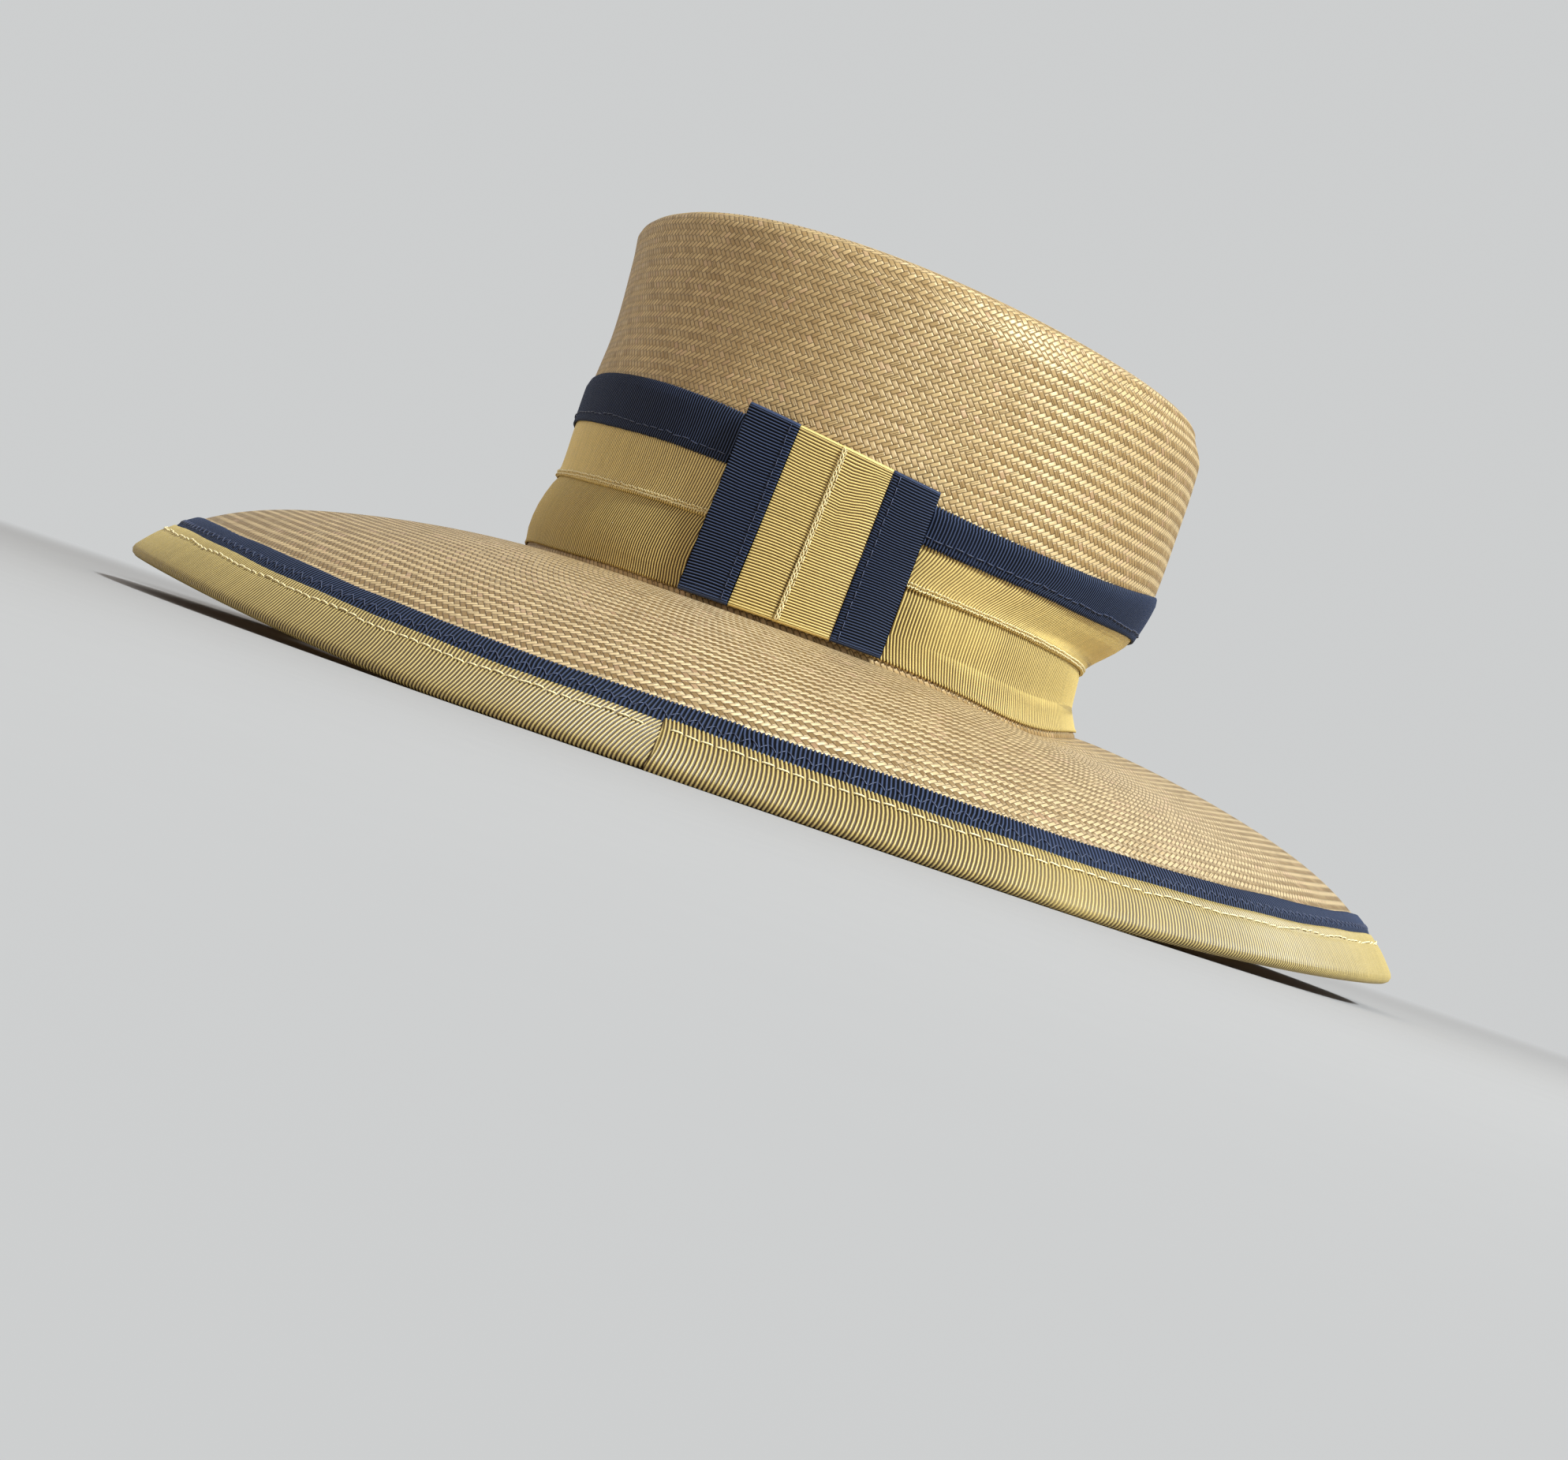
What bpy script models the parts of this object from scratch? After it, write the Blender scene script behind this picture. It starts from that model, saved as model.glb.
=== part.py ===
"""Wide-brimmed straw boater hat: an oval crown with a flat tip, a down-turned
brim with a folded ribbon binding, a band of three ribbons and a flat bow panel.

Frame: metres, +Z up, -Y is the front of the hat. The origin lies under the
middle of the hat on the plane that the brim rests on.
"""

import math

import bmesh
import bpy
import numpy as np

MM = 0.001

# ---------------------------------------------------------------- dimensions
STRAW = 1.5  # thickness of the woven straw
RIBBON = 1.0  # thickness of the sewn ribbons
GAP = 0.3  # clearance between two pieces
AROUND = 52  # facets round the hat

OVAL_TURN = 12.5  # degrees that the crown's long axis is turned from the front

BRIM_HALF_WIDTH = 195.0
BRIM_HALF_LENGTH = 200.0
BRIM_SHIFT = 0.6  # the rim's middle, toward the back
BRIM_EASE = 0.62  # share of the brim's drop that is the long easy curve
BRIM_EASE_POWER = 1.6
BRIM_TURN_POWER = 7.0  # the rest of the drop, close to the edge
REST_FLAT = 3.3  # the brim's dip below its mean level, flattened where it rests
REST_TRIM = 0.3  # depth of the flat that the folded edge rests on

BINDING_COVER = 12.5  # the folded ribbon's width on each side of the edge
STRIPE = 6.5  # visible width of the narrow stripes
BAND_GAP = 0.02  # half the gap between two band ribbons, in levels

# Waves of the rim's outline: harmonic, sine or cosine, size in plan (mm),
# size in height (mm).
RIM_WAVES = (
    # harmonic, phase, plan, height
    (2, "cos", 0.0, 5.0),
    (3, "sin", 2.2, -0.6),
    (4, "cos", 0.9, 0.4),
)

# The crown's rings, from the brim up. Heights are over the rest plane, shift_x
# and shift_y move the ring's centre, half_width and half_length are the oval's
# half axes, slope_x and slope_y tilt the ring, and saddle, twist and wave are
# the sizes of its bends (cos 2, sin 2 and sin 3 round the ring). All in mm.
RINGS = (
    # name, height, shift_x, shift_y, half_width, half_length, slope_x, slope_y, saddle, twist, wave
    ("base", 45.9, -1.4, -0.7, 86.2, 100.4, 0.000, 0.000, 1.2, 0.0, 0.0),
    ("waist", 56.3, -4.3, -0.8, 82.0, 98.6, -0.022, 0.006, 0.3, -0.4, 0.0),
    ("ribbon_join", 68.6, -3.2, -1.0, 80.9, 99.5, -0.038, 0.012, -0.5, -0.8, -0.2),
    ("navy_low", 83.2, 2.6, -1.2, 87.1, 100.9, -0.046, 0.024, 0.9, 0.1, -0.5),
    ("navy_top", 95.7, 4.2, -1.4, 88.8, 102.0, -0.032, 0.020, 3.6, 2.4, -0.5),
    ("middle", 113.2, 4.8, -1.7, 88.4, 102.5, -0.032, 0.018, 2.4, 2.4, -0.4),
    ("high", 138.0, 4.0, -2.1, 88.9, 102.8, -0.032, 0.014, 0.0, 2.4, -0.3),
    ("shoulder", 145.2, 1.8, -2.2, 87.6, 101.0, -0.032, 0.013, -0.4, 2.4, -0.3),
)
LEVEL = {row[0]: float(i) for i, row in enumerate(RINGS)}

# The dent where the crown is pressed down into the brim.
DENT_AT = -45.0  # degrees round the hat, right of the front
DENT_WIDTH = 22.0  # degrees
DENT_DEPTH = 4.0

# The rounded shoulder and the flat tip, as shares of the last ring's size.
TIP_ROWS = (
    # size, rise
    (0.983, 2.0),
    (0.953, 3.6),
    (0.905, 4.3),
    (0.500, 4.7),
)
TIP_RISE = 4.8  # height of the tip's middle over the last ring

# Edges of the bow panel's strips, in degrees round the hat at its top and foot.
PANEL_EDGES = (
    # edge, at_top, at_foot
    ("left", -118.3, -116.9),
    ("navy_to_yellow", -108.6, -107.3),
    ("middle", -100.9, -99.2),
    ("yellow_to_navy", -91.6, -88.9),
    ("right", -83.2, -79.6),
)
PANEL_TOP = 4.16  # level of its upper fold
PANEL_FOOT = 0.19  # level of its lower fold
PANEL_STAND = 3.7  # distance of its face from the straw

COLOURS = {
    # name: (red, green, blue), roughness
    "straw": ((0.62, 0.43, 0.20), 0.55),
    "navy": ((0.012, 0.016, 0.035), 0.60),
    "yellow": ((0.62, 0.43, 0.15), 0.55),
}


# ------------------------------------------------------------------ surfaces
def crown_point(level, angle, out=0.0):
    """A point of the crown's outer face, in mm, moved outward by out."""
    i = min(int(level), len(RINGS) - 2)
    share = level - i
    low, high = RINGS[i][1:], RINGS[i + 1][1:]
    z, cx, cy, a, b, sx, sy, saddle, twist, wave = (
        (1 - share) * p + share * q for p, q in zip(low, high)
    )
    turn = math.radians(OVAL_TURN)
    p = angle - turn
    ex, ey = (a + out) * math.cos(p), (b + out) * math.sin(p)
    x = cx + ex * math.cos(turn) - ey * math.sin(turn)
    y = cy + ex * math.sin(turn) + ey * math.cos(turn)
    z += sx * ex + sy * ey
    z += saddle * math.cos(2 * p) + twist * math.sin(2 * p) + wave * math.sin(3 * p)
    away = (math.degrees(angle) - DENT_AT + 180) % 360 - 180
    z -= DENT_DEPTH * math.exp(-((away / DENT_WIDTH) ** 2)) * max(0, 1 - level / 1.6)
    return np.array((x, y, z))


def crown_face(level, angle, out):
    """A point at the distance out (mm) from the crown's outer face."""
    step = 0.2
    up = crown_point(min(level + step, len(RINGS) - 1), angle) - crown_point(
        max(level - step, 0.0), angle
    )
    along = crown_point(level, angle + 1e-3) - crown_point(level, angle - 1e-3)
    normal = np.cross(along, up)
    return crown_point(level, angle) + normal / np.linalg.norm(normal) * out


def tip_point(angle, size, rise):
    """A point of the tip's middle face. Its bends die away toward the centre."""
    edge = crown_face(len(RINGS) - 1, angle, -STRAW / 2)
    _, z, cx, cy, _, _, sx, sy = RINGS[-1][:8]
    away = edge[:2] - (cx, cy)
    turn = math.radians(OVAL_TURN)
    ex = away[0] * math.cos(turn) + away[1] * math.sin(turn)
    ey = -away[0] * math.sin(turn) + away[1] * math.cos(turn)
    tilt = sx * ex + sy * ey
    bend = edge[2] - z - tilt
    return np.append(
        away * size + (cx, cy), z + tilt * size + bend * size * size + rise
    )


def rim_point(angle):
    """The lowest, outermost line of the folded edge, in mm."""
    plan = height = 0.0
    for harmonic, phase, in_plan, in_height in RIM_WAVES:
        value = getattr(math, phase)(harmonic * angle)
        plan += in_plan * value
        height += in_height * value
    return np.array(
        (
            (BRIM_HALF_WIDTH + plan) * math.cos(angle),
            BRIM_SHIFT + (BRIM_HALF_LENGTH + plan) * math.sin(angle),
            max(height, -REST_FLAT) + REST_FLAT - REST_TRIM,
        )
    )


EDGE_RADIUS = STRAW / 2 + GAP + RIBBON  # outer radius of the folded edge


def brim_point(angle, share):
    """A point of the straw brim's middle face: share 0 at the crown, 1 at its edge."""
    inner = crown_point(0.0, angle, 1.0)
    outer = rim_point(angle)
    reach = outer[:2] - inner[:2]
    outer = np.append(
        outer[:2] - reach / np.linalg.norm(reach) * EDGE_RADIUS * 0.75,
        outer[2] + EDGE_RADIUS,
    )
    drop = (
        BRIM_EASE * max(share, 0.0) ** BRIM_EASE_POWER
        + (1 - BRIM_EASE) * max(share, 0.0) ** BRIM_TURN_POWER
    )
    xy = inner[:2] + (outer[:2] - inner[:2]) * share
    return np.append(xy, inner[2] + (outer[2] - inner[2]) * drop)


def brim_frame(angle, share):
    """The brim's point, its outward direction and its upper normal there."""
    step = 1e-3
    here = brim_point(angle, share)
    out = here - brim_point(angle, share - step)
    round_it = brim_point(angle + step, share) - brim_point(angle - step, share)
    normal = np.cross(out, round_it)
    normal /= np.linalg.norm(normal)
    return here, out / np.linalg.norm(out), normal


def share_at(angle, from_edge):
    """The share at which the brim's face is from_edge mm in from its edge."""
    walked, share, last, pace, step = 0.0, 1.0, brim_point(angle, 1.0), 1.0, 0.005
    while walked < from_edge:
        share -= step
        here = brim_point(angle, share)
        pace = np.linalg.norm(here - last)
        walked += pace
        last = here
    return share + step * (walked - from_edge) / pace


# ------------------------------------------------------------------- objects
def material(name):
    colour, rough = COLOURS[name]
    made = bpy.data.materials.new(name)
    made.use_nodes = True
    shader = made.node_tree.nodes["Principled BSDF"]
    shader.inputs["Base Color"].default_value = (*colour, 1)
    shader.inputs["Roughness"].default_value = rough
    shader.inputs["Metallic"].default_value = 0.0
    made.diffuse_color = (*colour, 1)
    return made


def shell(name, rows, thick, look, closed, centre=None):
    """An open surface lofted through rows of points (mm), thickened both ways."""
    body = bmesh.new()
    grid = [[body.verts.new(p * MM) for p in row] for row in rows]
    count = len(rows[0])
    for low, high in zip(grid, grid[1:]):
        for i in range(count if closed else count - 1):
            j = (i + 1) % count
            body.faces.new((low[i], low[j], high[j], high[i]))
    if centre is not None:
        middle = body.verts.new(centre * MM)
        for i in range(count):
            body.faces.new((grid[-1][i], grid[-1][(i + 1) % count], middle))
    bmesh.ops.recalc_face_normals(body, faces=body.faces)
    mesh = bpy.data.meshes.new(name)
    body.to_mesh(mesh)
    body.free()
    mesh.shade_smooth()
    mesh.set_sharp_from_angle(angle=math.radians(40))
    made = bpy.data.objects.new(name, mesh)
    mesh.materials.append(material(look))
    thicken = made.modifiers.new("thickness", "SOLIDIFY")
    thicken.thickness = thick * MM
    thicken.offset = 0.0
    thicken.use_even_offset = True
    hat.objects.link(made)
    made.parent = root
    return made


def angles(first=None, last=None, count=AROUND):
    """Angles round the whole hat, or from first to last degrees."""
    if first is None:
        return [math.tau * i / count for i in range(count)]
    return [math.radians(first + (last - first) * i / count) for i in range(count + 1)]


def build_crown():
    # The wall stands on the brim's inner edge, with a small gap.
    foot = (STRAW / 2 + GAP + 0.8) / (RINGS[1][1] - RINGS[0][1])
    levels = [foot, 0.55] + [float(i) for i in range(1, len(RINGS))]
    rows = [
        [crown_face(level, t, -STRAW / 2) for t in angles()] for level in levels
    ]
    for size, rise in TIP_ROWS:
        rows.append([tip_point(t, size, rise) for t in angles()])
    centre = tip_point(0.0, 0.0, TIP_RISE)
    shell("crown", rows, STRAW, "straw", closed=True, centre=centre)


def build_brim():
    ledge = [crown_point(0.0, t, -STRAW - 0.3) for t in angles()]
    shares = (0.0, 0.12, 0.28, 0.44, 0.60, 0.74, 0.85, 0.93, 1.0)
    rows = [ledge] + [[brim_point(t, s) for t in angles()] for s in shares]
    shell("brim", rows, STRAW, "straw", closed=True)


def build_binding():
    stand = STRAW / 2 + GAP + RIBBON / 2
    rows = []
    for side, insets in ((1, (BINDING_COVER, 6.0)), (-1, (6.0, BINDING_COVER))):
        for inset in insets:
            row = []
            for t in angles():
                here, _, normal = brim_frame(t, share_at(t, inset))
                row.append(here + normal * stand * side)
            rows.append(row)
        if side == 1:
            for bend in (0, 45, 90, 135, 180):
                row = []
                for t in angles():
                    here, out, normal = brim_frame(t, 1.0)
                    turn = math.radians(bend)
                    row.append(
                        here
                        + (normal * math.cos(turn) + out * math.sin(turn)) * stand
                    )
                rows.append(row)
    made = shell("brim_binding", rows, RIBBON, "yellow", closed=True)

    # The flat that the folded edge rests on.
    bpy.ops.mesh.primitive_cube_add(size=1.0)
    floor = bpy.context.object
    floor.name = "rest_plane"
    floor.scale = (0.6, 0.6, 0.02)
    floor.location = (0, 0, -0.01)
    for owner in list(floor.users_collection):
        owner.objects.unlink(floor)
    cutters.objects.link(floor)
    floor.hide_render = True
    floor.display_type = "WIRE"
    bpy.context.view_layer.update()
    trim = made.modifiers.new("rest", "BOOLEAN")
    trim.operation = "DIFFERENCE"
    trim.solver = "EXACT"
    trim.object = floor


def build_stripes():
    stand = STRAW / 2 + GAP + RIBBON / 2
    for name, side in (("brim_stripe_top", 1), ("brim_stripe_under", -1)):
        rows = []
        for inset in (BINDING_COVER + GAP, BINDING_COVER + GAP + STRIPE):
            row = []
            for t in angles():
                here, _, normal = brim_frame(t, share_at(t, inset))
                row.append(here + normal * stand * side)
            rows.append(row)
        shell(name, rows, RIBBON, "navy", closed=True)


def build_band():
    stand = GAP + RIBBON / 2 + 0.1
    foot = (STRAW / 2 + GAP + 1.0) / (RINGS[1][1] - RINGS[0][1])
    ribbons = (
        # name, levels, look
        ("band_yellow_lower", (foot, 0.55, 1.0, 2.0 - BAND_GAP), "yellow"),
        ("band_yellow_upper", (2.0 + BAND_GAP, 3.0 - BAND_GAP), "yellow"),
        ("band_navy", (3.0 + BAND_GAP, 4.0), "navy"),
    )
    for name, levels, look in ribbons:
        rows = [[crown_face(v, t, stand) for t in angles()] for v in levels]
        shell(name, rows, RIBBON, look, closed=True)


def build_panel():
    strips = ("bow_navy_left", "bow_yellow_left", "bow_yellow_right", "bow_navy_right")
    for i, name in enumerate(strips):
        left, right = PANEL_EDGES[i], PANEL_EDGES[i + 1]
        tops = angles(left[1] + 0.09, right[1] - 0.09, count=3)
        feet = angles(left[2] + 0.09, right[2] - 0.09, count=3)
        # Down the face, straight over the hollow of the band, with the upper
        # end folded back behind it.
        route = (
            # share of the height, distance back from the face
            (0.08, 1.4),
            (0.012, 1.4),
            (0.0, 0.7),
            (0.012, 0.0),
            (0.25, 0.0),
            (0.5, 0.0),
            (0.75, 0.0),
            (1.0, 0.0),
        )
        rows = []
        for share, back in route:
            row = []
            for top, foot in zip(tops, feet):
                high = crown_face(PANEL_TOP, top, PANEL_STAND)
                low = crown_face(PANEL_FOOT, foot, PANEL_STAND)
                behind = crown_face(PANEL_TOP, top, PANEL_STAND - back) - high
                row.append(high + (low - high) * share + behind)
            rows.append(row)
        look = "navy" if "navy" in name else "yellow"
        shell(name, rows, RIBBON, look, closed=False)


for old in list(bpy.data.objects):
    bpy.data.objects.remove(old)
hat = bpy.data.collections.new("straw_boater_hat")
cutters = bpy.data.collections.new("cutters")
for group in (hat, cutters):
    bpy.context.scene.collection.children.link(group)
root = bpy.data.objects.new("hat_centre", None)
hat.objects.link(root)

build_crown()
build_brim()
build_binding()
build_stripes()
build_band()
build_panel()

# Centre the hat's outline over the origin.
bpy.context.view_layer.update()
seen = hat.objects["brim_binding"].evaluated_get(
    bpy.context.evaluated_depsgraph_get()
)
outline = np.array([v.co for v in seen.data.vertices])
middle = (outline.min(axis=0) + outline.max(axis=0)) / 2
root.location = (-middle[0], -middle[1], 0)
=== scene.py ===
"""The looks of a straw boater hat: twill-woven straw, ribbed ribbons and their sewing."""

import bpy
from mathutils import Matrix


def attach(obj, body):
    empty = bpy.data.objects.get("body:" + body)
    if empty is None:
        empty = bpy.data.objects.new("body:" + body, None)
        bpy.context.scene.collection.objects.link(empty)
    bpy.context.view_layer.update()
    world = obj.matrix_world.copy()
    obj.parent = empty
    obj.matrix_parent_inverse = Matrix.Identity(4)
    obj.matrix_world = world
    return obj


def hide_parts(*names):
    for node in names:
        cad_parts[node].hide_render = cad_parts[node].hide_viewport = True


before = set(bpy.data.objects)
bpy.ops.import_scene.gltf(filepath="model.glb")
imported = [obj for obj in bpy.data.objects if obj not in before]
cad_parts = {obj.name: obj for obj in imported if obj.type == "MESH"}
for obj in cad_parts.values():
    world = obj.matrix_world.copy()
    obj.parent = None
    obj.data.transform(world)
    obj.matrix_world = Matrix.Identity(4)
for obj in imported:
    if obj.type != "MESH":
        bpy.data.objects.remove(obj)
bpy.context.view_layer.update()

import math

import bpy
import numpy as np
from mathutils import Matrix

TAU = math.tau
MM = 0.001
dice = np.random.default_rng(5)

# ------------------------------------------------------------ shape, in mm
OVAL_TURN = math.radians(12.5)
BRIM_HALF_WIDTH, BRIM_HALF_LENGTH, BRIM_SHIFT = 195.0, 200.0, 0.6
BRIM_EASE, BRIM_EASE_POWER, BRIM_TURN_POWER = 0.62, 1.6, 7.0
REST_FLAT, REST_TRIM = 3.3, 0.3
EDGE_RADIUS = 2.05
CENTRE = np.array((0.0, 1.6017, 0.0))
RINGS = np.array((
    # height, shift_x, shift_y, half_width, half_length, slope_x, slope_y, saddle, twist, wave
    (45.9, -1.4, -0.7, 86.2, 100.4, 0.000, 0.000, 1.2, 0.0, 0.0),  # base
    (56.3, -4.3, -0.8, 82.0, 98.6, -0.022, 0.006, 0.3, -0.4, 0.0),  # waist
    (68.6, -3.2, -1.0, 80.9, 99.5, -0.038, 0.012, -0.5, -0.8, -0.2),  # ribbon join
    (83.2, 2.6, -1.2, 87.1, 100.9, -0.046, 0.024, 0.9, 0.1, -0.5),  # navy low
    (95.7, 4.2, -1.4, 88.8, 102.0, -0.032, 0.020, 3.6, 2.4, -0.5),  # navy top
    (113.2, 4.8, -1.7, 88.4, 102.5, -0.032, 0.018, 2.4, 2.4, -0.4),  # middle
    (138.0, 4.0, -2.1, 88.9, 102.8, -0.032, 0.014, 0.0, 2.4, -0.3),  # high
    (145.2, 1.8, -2.2, 87.6, 101.0, -0.032, 0.013, -0.4, 2.4, -0.3),  # shoulder
))
LEVELS = len(RINGS) - 1
DENT_AT, DENT_WIDTH, DENT_DEPTH = math.radians(-45.0), math.radians(22.0), 4.0
SHOULDER_IN, SHOULDER_UP, TIP_RISE = 0.095, 4.5, 4.8

STRAW = 1.2  # thickness of the woven wall
COVER = 12.5  # the binding's width on each side of the brim
STRIPE, STRIPE_GAP, STRIPE_TUCK = 6.5, 0.3, 4.0
RIB, EDGE_RIB = 0.95, 1.12  # pitch of the ribs on the crown's ribbons and the brim's
RIBBON = 0.5  # thickness of a ribbon
HALF_ROW = 1.72  # the weave's half row
CROWN_PITCH, BRIM_PITCH = 2.0, 1.95
SKEW = -0.2
BINDING_SEAM = math.radians(-99.6)
PANEL_TOP, PANEL_FOOT, PANEL_STAND = 4.16, 0.19, 3.7
PANEL_EDGES = (
    # edge, at_top, at_foot
    ("left", -118.3, -116.9),
    ("navy_to_yellow", -108.6, -107.3),
    ("middle", -100.9, -99.2),
    ("yellow_to_navy", -91.6, -88.9),
    ("right", -83.2, -79.6),
)


def hermite_table(xs, ys):
    """A monotone cubic through the rows of ys, as a function of x."""
    h = np.diff(xs)[:, None]
    d = np.diff(ys, axis=0) / h
    m = np.zeros_like(ys)
    m[0], m[-1] = d[0], d[-1]
    same = d[:-1] * d[1:] > 0
    w1, w2 = 2 * h[1:] + h[:-1], h[1:] + 2 * h[:-1]
    with np.errstate(divide="ignore", invalid="ignore"):
        mean = (w1 + w2) / (w1 / d[:-1] + w2 / d[1:])
    m[1:-1] = np.where(same, mean, 0.0)

    def at(x):
        x = np.asarray(x, float)
        i = np.clip(np.searchsorted(xs, x, side="right") - 1, 0, len(xs) - 2)
        step = h[i, 0]
        t = ((x - xs[i]) / step)[..., None]
        step = step[..., None]
        return (
            ys[i] * (1 + 2 * t) * (1 - t) ** 2
            + m[i] * step * t * (1 - t) ** 2
            + ys[i + 1] * t * t * (3 - 2 * t)
            + m[i + 1] * step * t * t * (t - 1)
        )

    return at


ring_at_height = hermite_table(RINGS[:, 0], RINGS)


def crown_point(level, angle, out=0.0):
    level, angle = np.broadcast_arrays(
        np.asarray(level, float), np.asarray(angle, float)
    )
    height = np.interp(level, np.arange(LEVELS + 1), RINGS[:, 0])
    ring = ring_at_height(height)
    z, cx, cy, a, b, sx, sy, saddle, twist, wave = np.moveaxis(ring, -1, 0)
    p = angle - OVAL_TURN
    ct, st = math.cos(OVAL_TURN), math.sin(OVAL_TURN)
    ex, ey = (a + out) * np.cos(p), (b + out) * np.sin(p)
    x = cx + ex * ct - ey * st
    y = cy + ex * st + ey * ct
    z = z + sx * ex + sy * ey
    z = z + saddle * np.cos(2 * p) + twist * np.sin(2 * p) + wave * np.sin(3 * p)
    away = (angle - DENT_AT + math.pi) % TAU - math.pi
    z = z - DENT_DEPTH * np.exp(-((away / DENT_WIDTH) ** 2)) * np.clip(
        1 - level / 1.6, 0, None
    )
    return np.stack((x, y, z), -1) + CENTRE


def unit(v):
    return v / np.maximum(np.linalg.norm(v, axis=-1, keepdims=True), 1e-12)


def crown_frame(level, angle):
    """Points of the crown's outer face and their outward normals."""
    level, angle = np.broadcast_arrays(
        np.asarray(level, float), np.asarray(angle, float)
    )
    up = crown_point(np.minimum(level + 0.12, LEVELS), angle) - crown_point(
        np.maximum(level - 0.12, 0.0), angle
    )
    along = crown_point(level, angle + 2e-3) - crown_point(level, angle - 2e-3)
    return crown_point(level, angle), unit(np.cross(along, up))


def crown_face(level, angle, out):
    p, n = crown_frame(level, angle)
    return p + n * np.asarray(out)[..., None]


def tip_point(angle, size, rise, out=0.0):
    """Points of the tip, at a share of the last ring's size."""
    angle, size, rise = np.broadcast_arrays(
        np.asarray(angle, float), np.asarray(size, float), np.asarray(rise, float)
    )
    edge = crown_face(float(LEVELS), angle, np.full(angle.shape, out)) - CENTRE
    z, cx, cy, _, _, sx, sy = RINGS[-1][:7]
    away = edge[..., :2] - (cx, cy)
    ct, st = math.cos(OVAL_TURN), math.sin(OVAL_TURN)
    ex = away[..., 0] * ct + away[..., 1] * st
    ey = -away[..., 0] * st + away[..., 1] * ct
    tilt = sx * ex + sy * ey
    bend = edge[..., 2] - z - tilt
    xy = away * size[..., None] + (cx, cy)
    return (
        np.concatenate(
            (xy, (z + tilt * size + bend * size * size + rise)[..., None]), -1
        )
        + CENTRE
    )


def tip_curve(angle, q, out=0.0):
    """From the shoulder's start, q 0, over its round to 1, and in to the middle, 2."""
    angle, q = np.broadcast_arrays(np.asarray(angle, float), np.asarray(q, float))
    s = np.clip(q, 0, 1) * math.pi / 2
    flat = np.clip(q - 1, 0, 1)
    size = (1 - SHOULDER_IN * (1 - np.cos(s))) * (1 - flat)
    rise = SHOULDER_UP * np.sin(s) + (TIP_RISE - SHOULDER_UP) * flat
    return tip_point(angle, size, rise + out, out)


def rim_point(angle):
    angle = np.asarray(angle, float)
    plan = 2.2 * np.sin(3 * angle) + 0.9 * np.cos(4 * angle)
    height = (
        5.0 * np.cos(2 * angle) - 0.6 * np.sin(3 * angle) + 0.4 * np.cos(4 * angle)
    )
    # The dip is flattened where the hat rests, with a soft start.
    soft = 0.25
    dip = height + REST_FLAT
    height = 0.5 * (dip + np.sqrt(dip * dip + soft * soft)) - REST_FLAT
    return (
        np.stack(
            (
                (BRIM_HALF_WIDTH + plan) * np.cos(angle),
                BRIM_SHIFT + (BRIM_HALF_LENGTH + plan) * np.sin(angle),
                height + REST_FLAT - REST_TRIM,
            ),
            -1,
        )
        + CENTRE
    )


def brim_point(angle, share):
    angle, share = np.broadcast_arrays(
        np.asarray(angle, float), np.asarray(share, float)
    )
    inner = crown_point(0.0, angle, 1.0)
    outer = rim_point(angle)
    reach = unit(outer[..., :2] - inner[..., :2])
    oxy = outer[..., :2] - reach * EDGE_RADIUS * 0.75
    oz = outer[..., 2] + EDGE_RADIUS
    t = np.maximum(share, 0.0)
    drop = BRIM_EASE * t**BRIM_EASE_POWER + (1 - BRIM_EASE) * t**BRIM_TURN_POWER
    xy = inner[..., :2] + (oxy - inner[..., :2]) * share[..., None]
    z = inner[..., 2] + (oz - inner[..., 2]) * drop
    return np.concatenate((xy, z[..., None]), -1)


def brim_frame(angle, share):
    """Points of the brim's middle face, their outward directions and upper normals."""
    step = 1e-3
    here = brim_point(angle, share)
    out = here - brim_point(angle, np.asarray(share) - step)
    around = brim_point(angle + step, share) - brim_point(angle - step, share)
    return here, unit(out), unit(np.cross(out, around))


class Walk:
    """Distances along a family of curves, one at each angle."""

    def __init__(self, curve, first, last, count=400):
        self.angles = np.linspace(0, TAU, 721)
        t = np.linspace(first, last, count)
        p = curve(self.angles[:, None], t[None])
        step = np.linalg.norm(np.diff(p, axis=1), axis=-1)
        walked = np.concatenate(
            (np.zeros((len(self.angles), 1)), np.cumsum(step, axis=1)), 1
        )
        self.first, self.last = first, last
        self.walked = walked
        self.length = walked[:, -1]
        shares = np.linspace(0, 1, 600)
        self.inverse = np.stack([np.interp(shares, w / w[-1], t) for w in walked])

    def _read(self, values, angle, x):
        angle, x = np.broadcast_arrays(np.asarray(angle, float), np.asarray(x, float))
        a = (angle % TAU) / TAU * 720
        i = np.minimum(a.astype(int), 719)
        f = a - i
        b = np.clip(x, 0, 1) * (values.shape[1] - 1)
        j = np.minimum(b.astype(int), values.shape[1] - 2)
        g = b - j
        return (values[i, j] * (1 - g) + values[i, j + 1] * g) * (1 - f) + (
            values[i + 1, j] * (1 - g) + values[i + 1, j + 1] * g
        ) * f

    def total(self, angle):
        return np.interp(np.asarray(angle, float) % TAU, self.angles, self.length)

    def at_share(self, angle, share):
        return self._read(self.inverse, angle, share)

    def at(self, angle, distance):
        return self.at_share(angle, distance / self.total(angle))

    def distance(self, angle, t):
        return self._read(
            self.walked, angle, (np.asarray(t) - self.first) / (self.last - self.first)
        )


brim_walk = Walk(lambda a, t: brim_point(a, 1 - t), 0.0, 1.0)
crown_walk = Walk(lambda a, t: crown_point(t, a), 0.0, float(LEVELS))
tip_walk = Walk(tip_curve, 0.0, 1.97)


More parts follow.
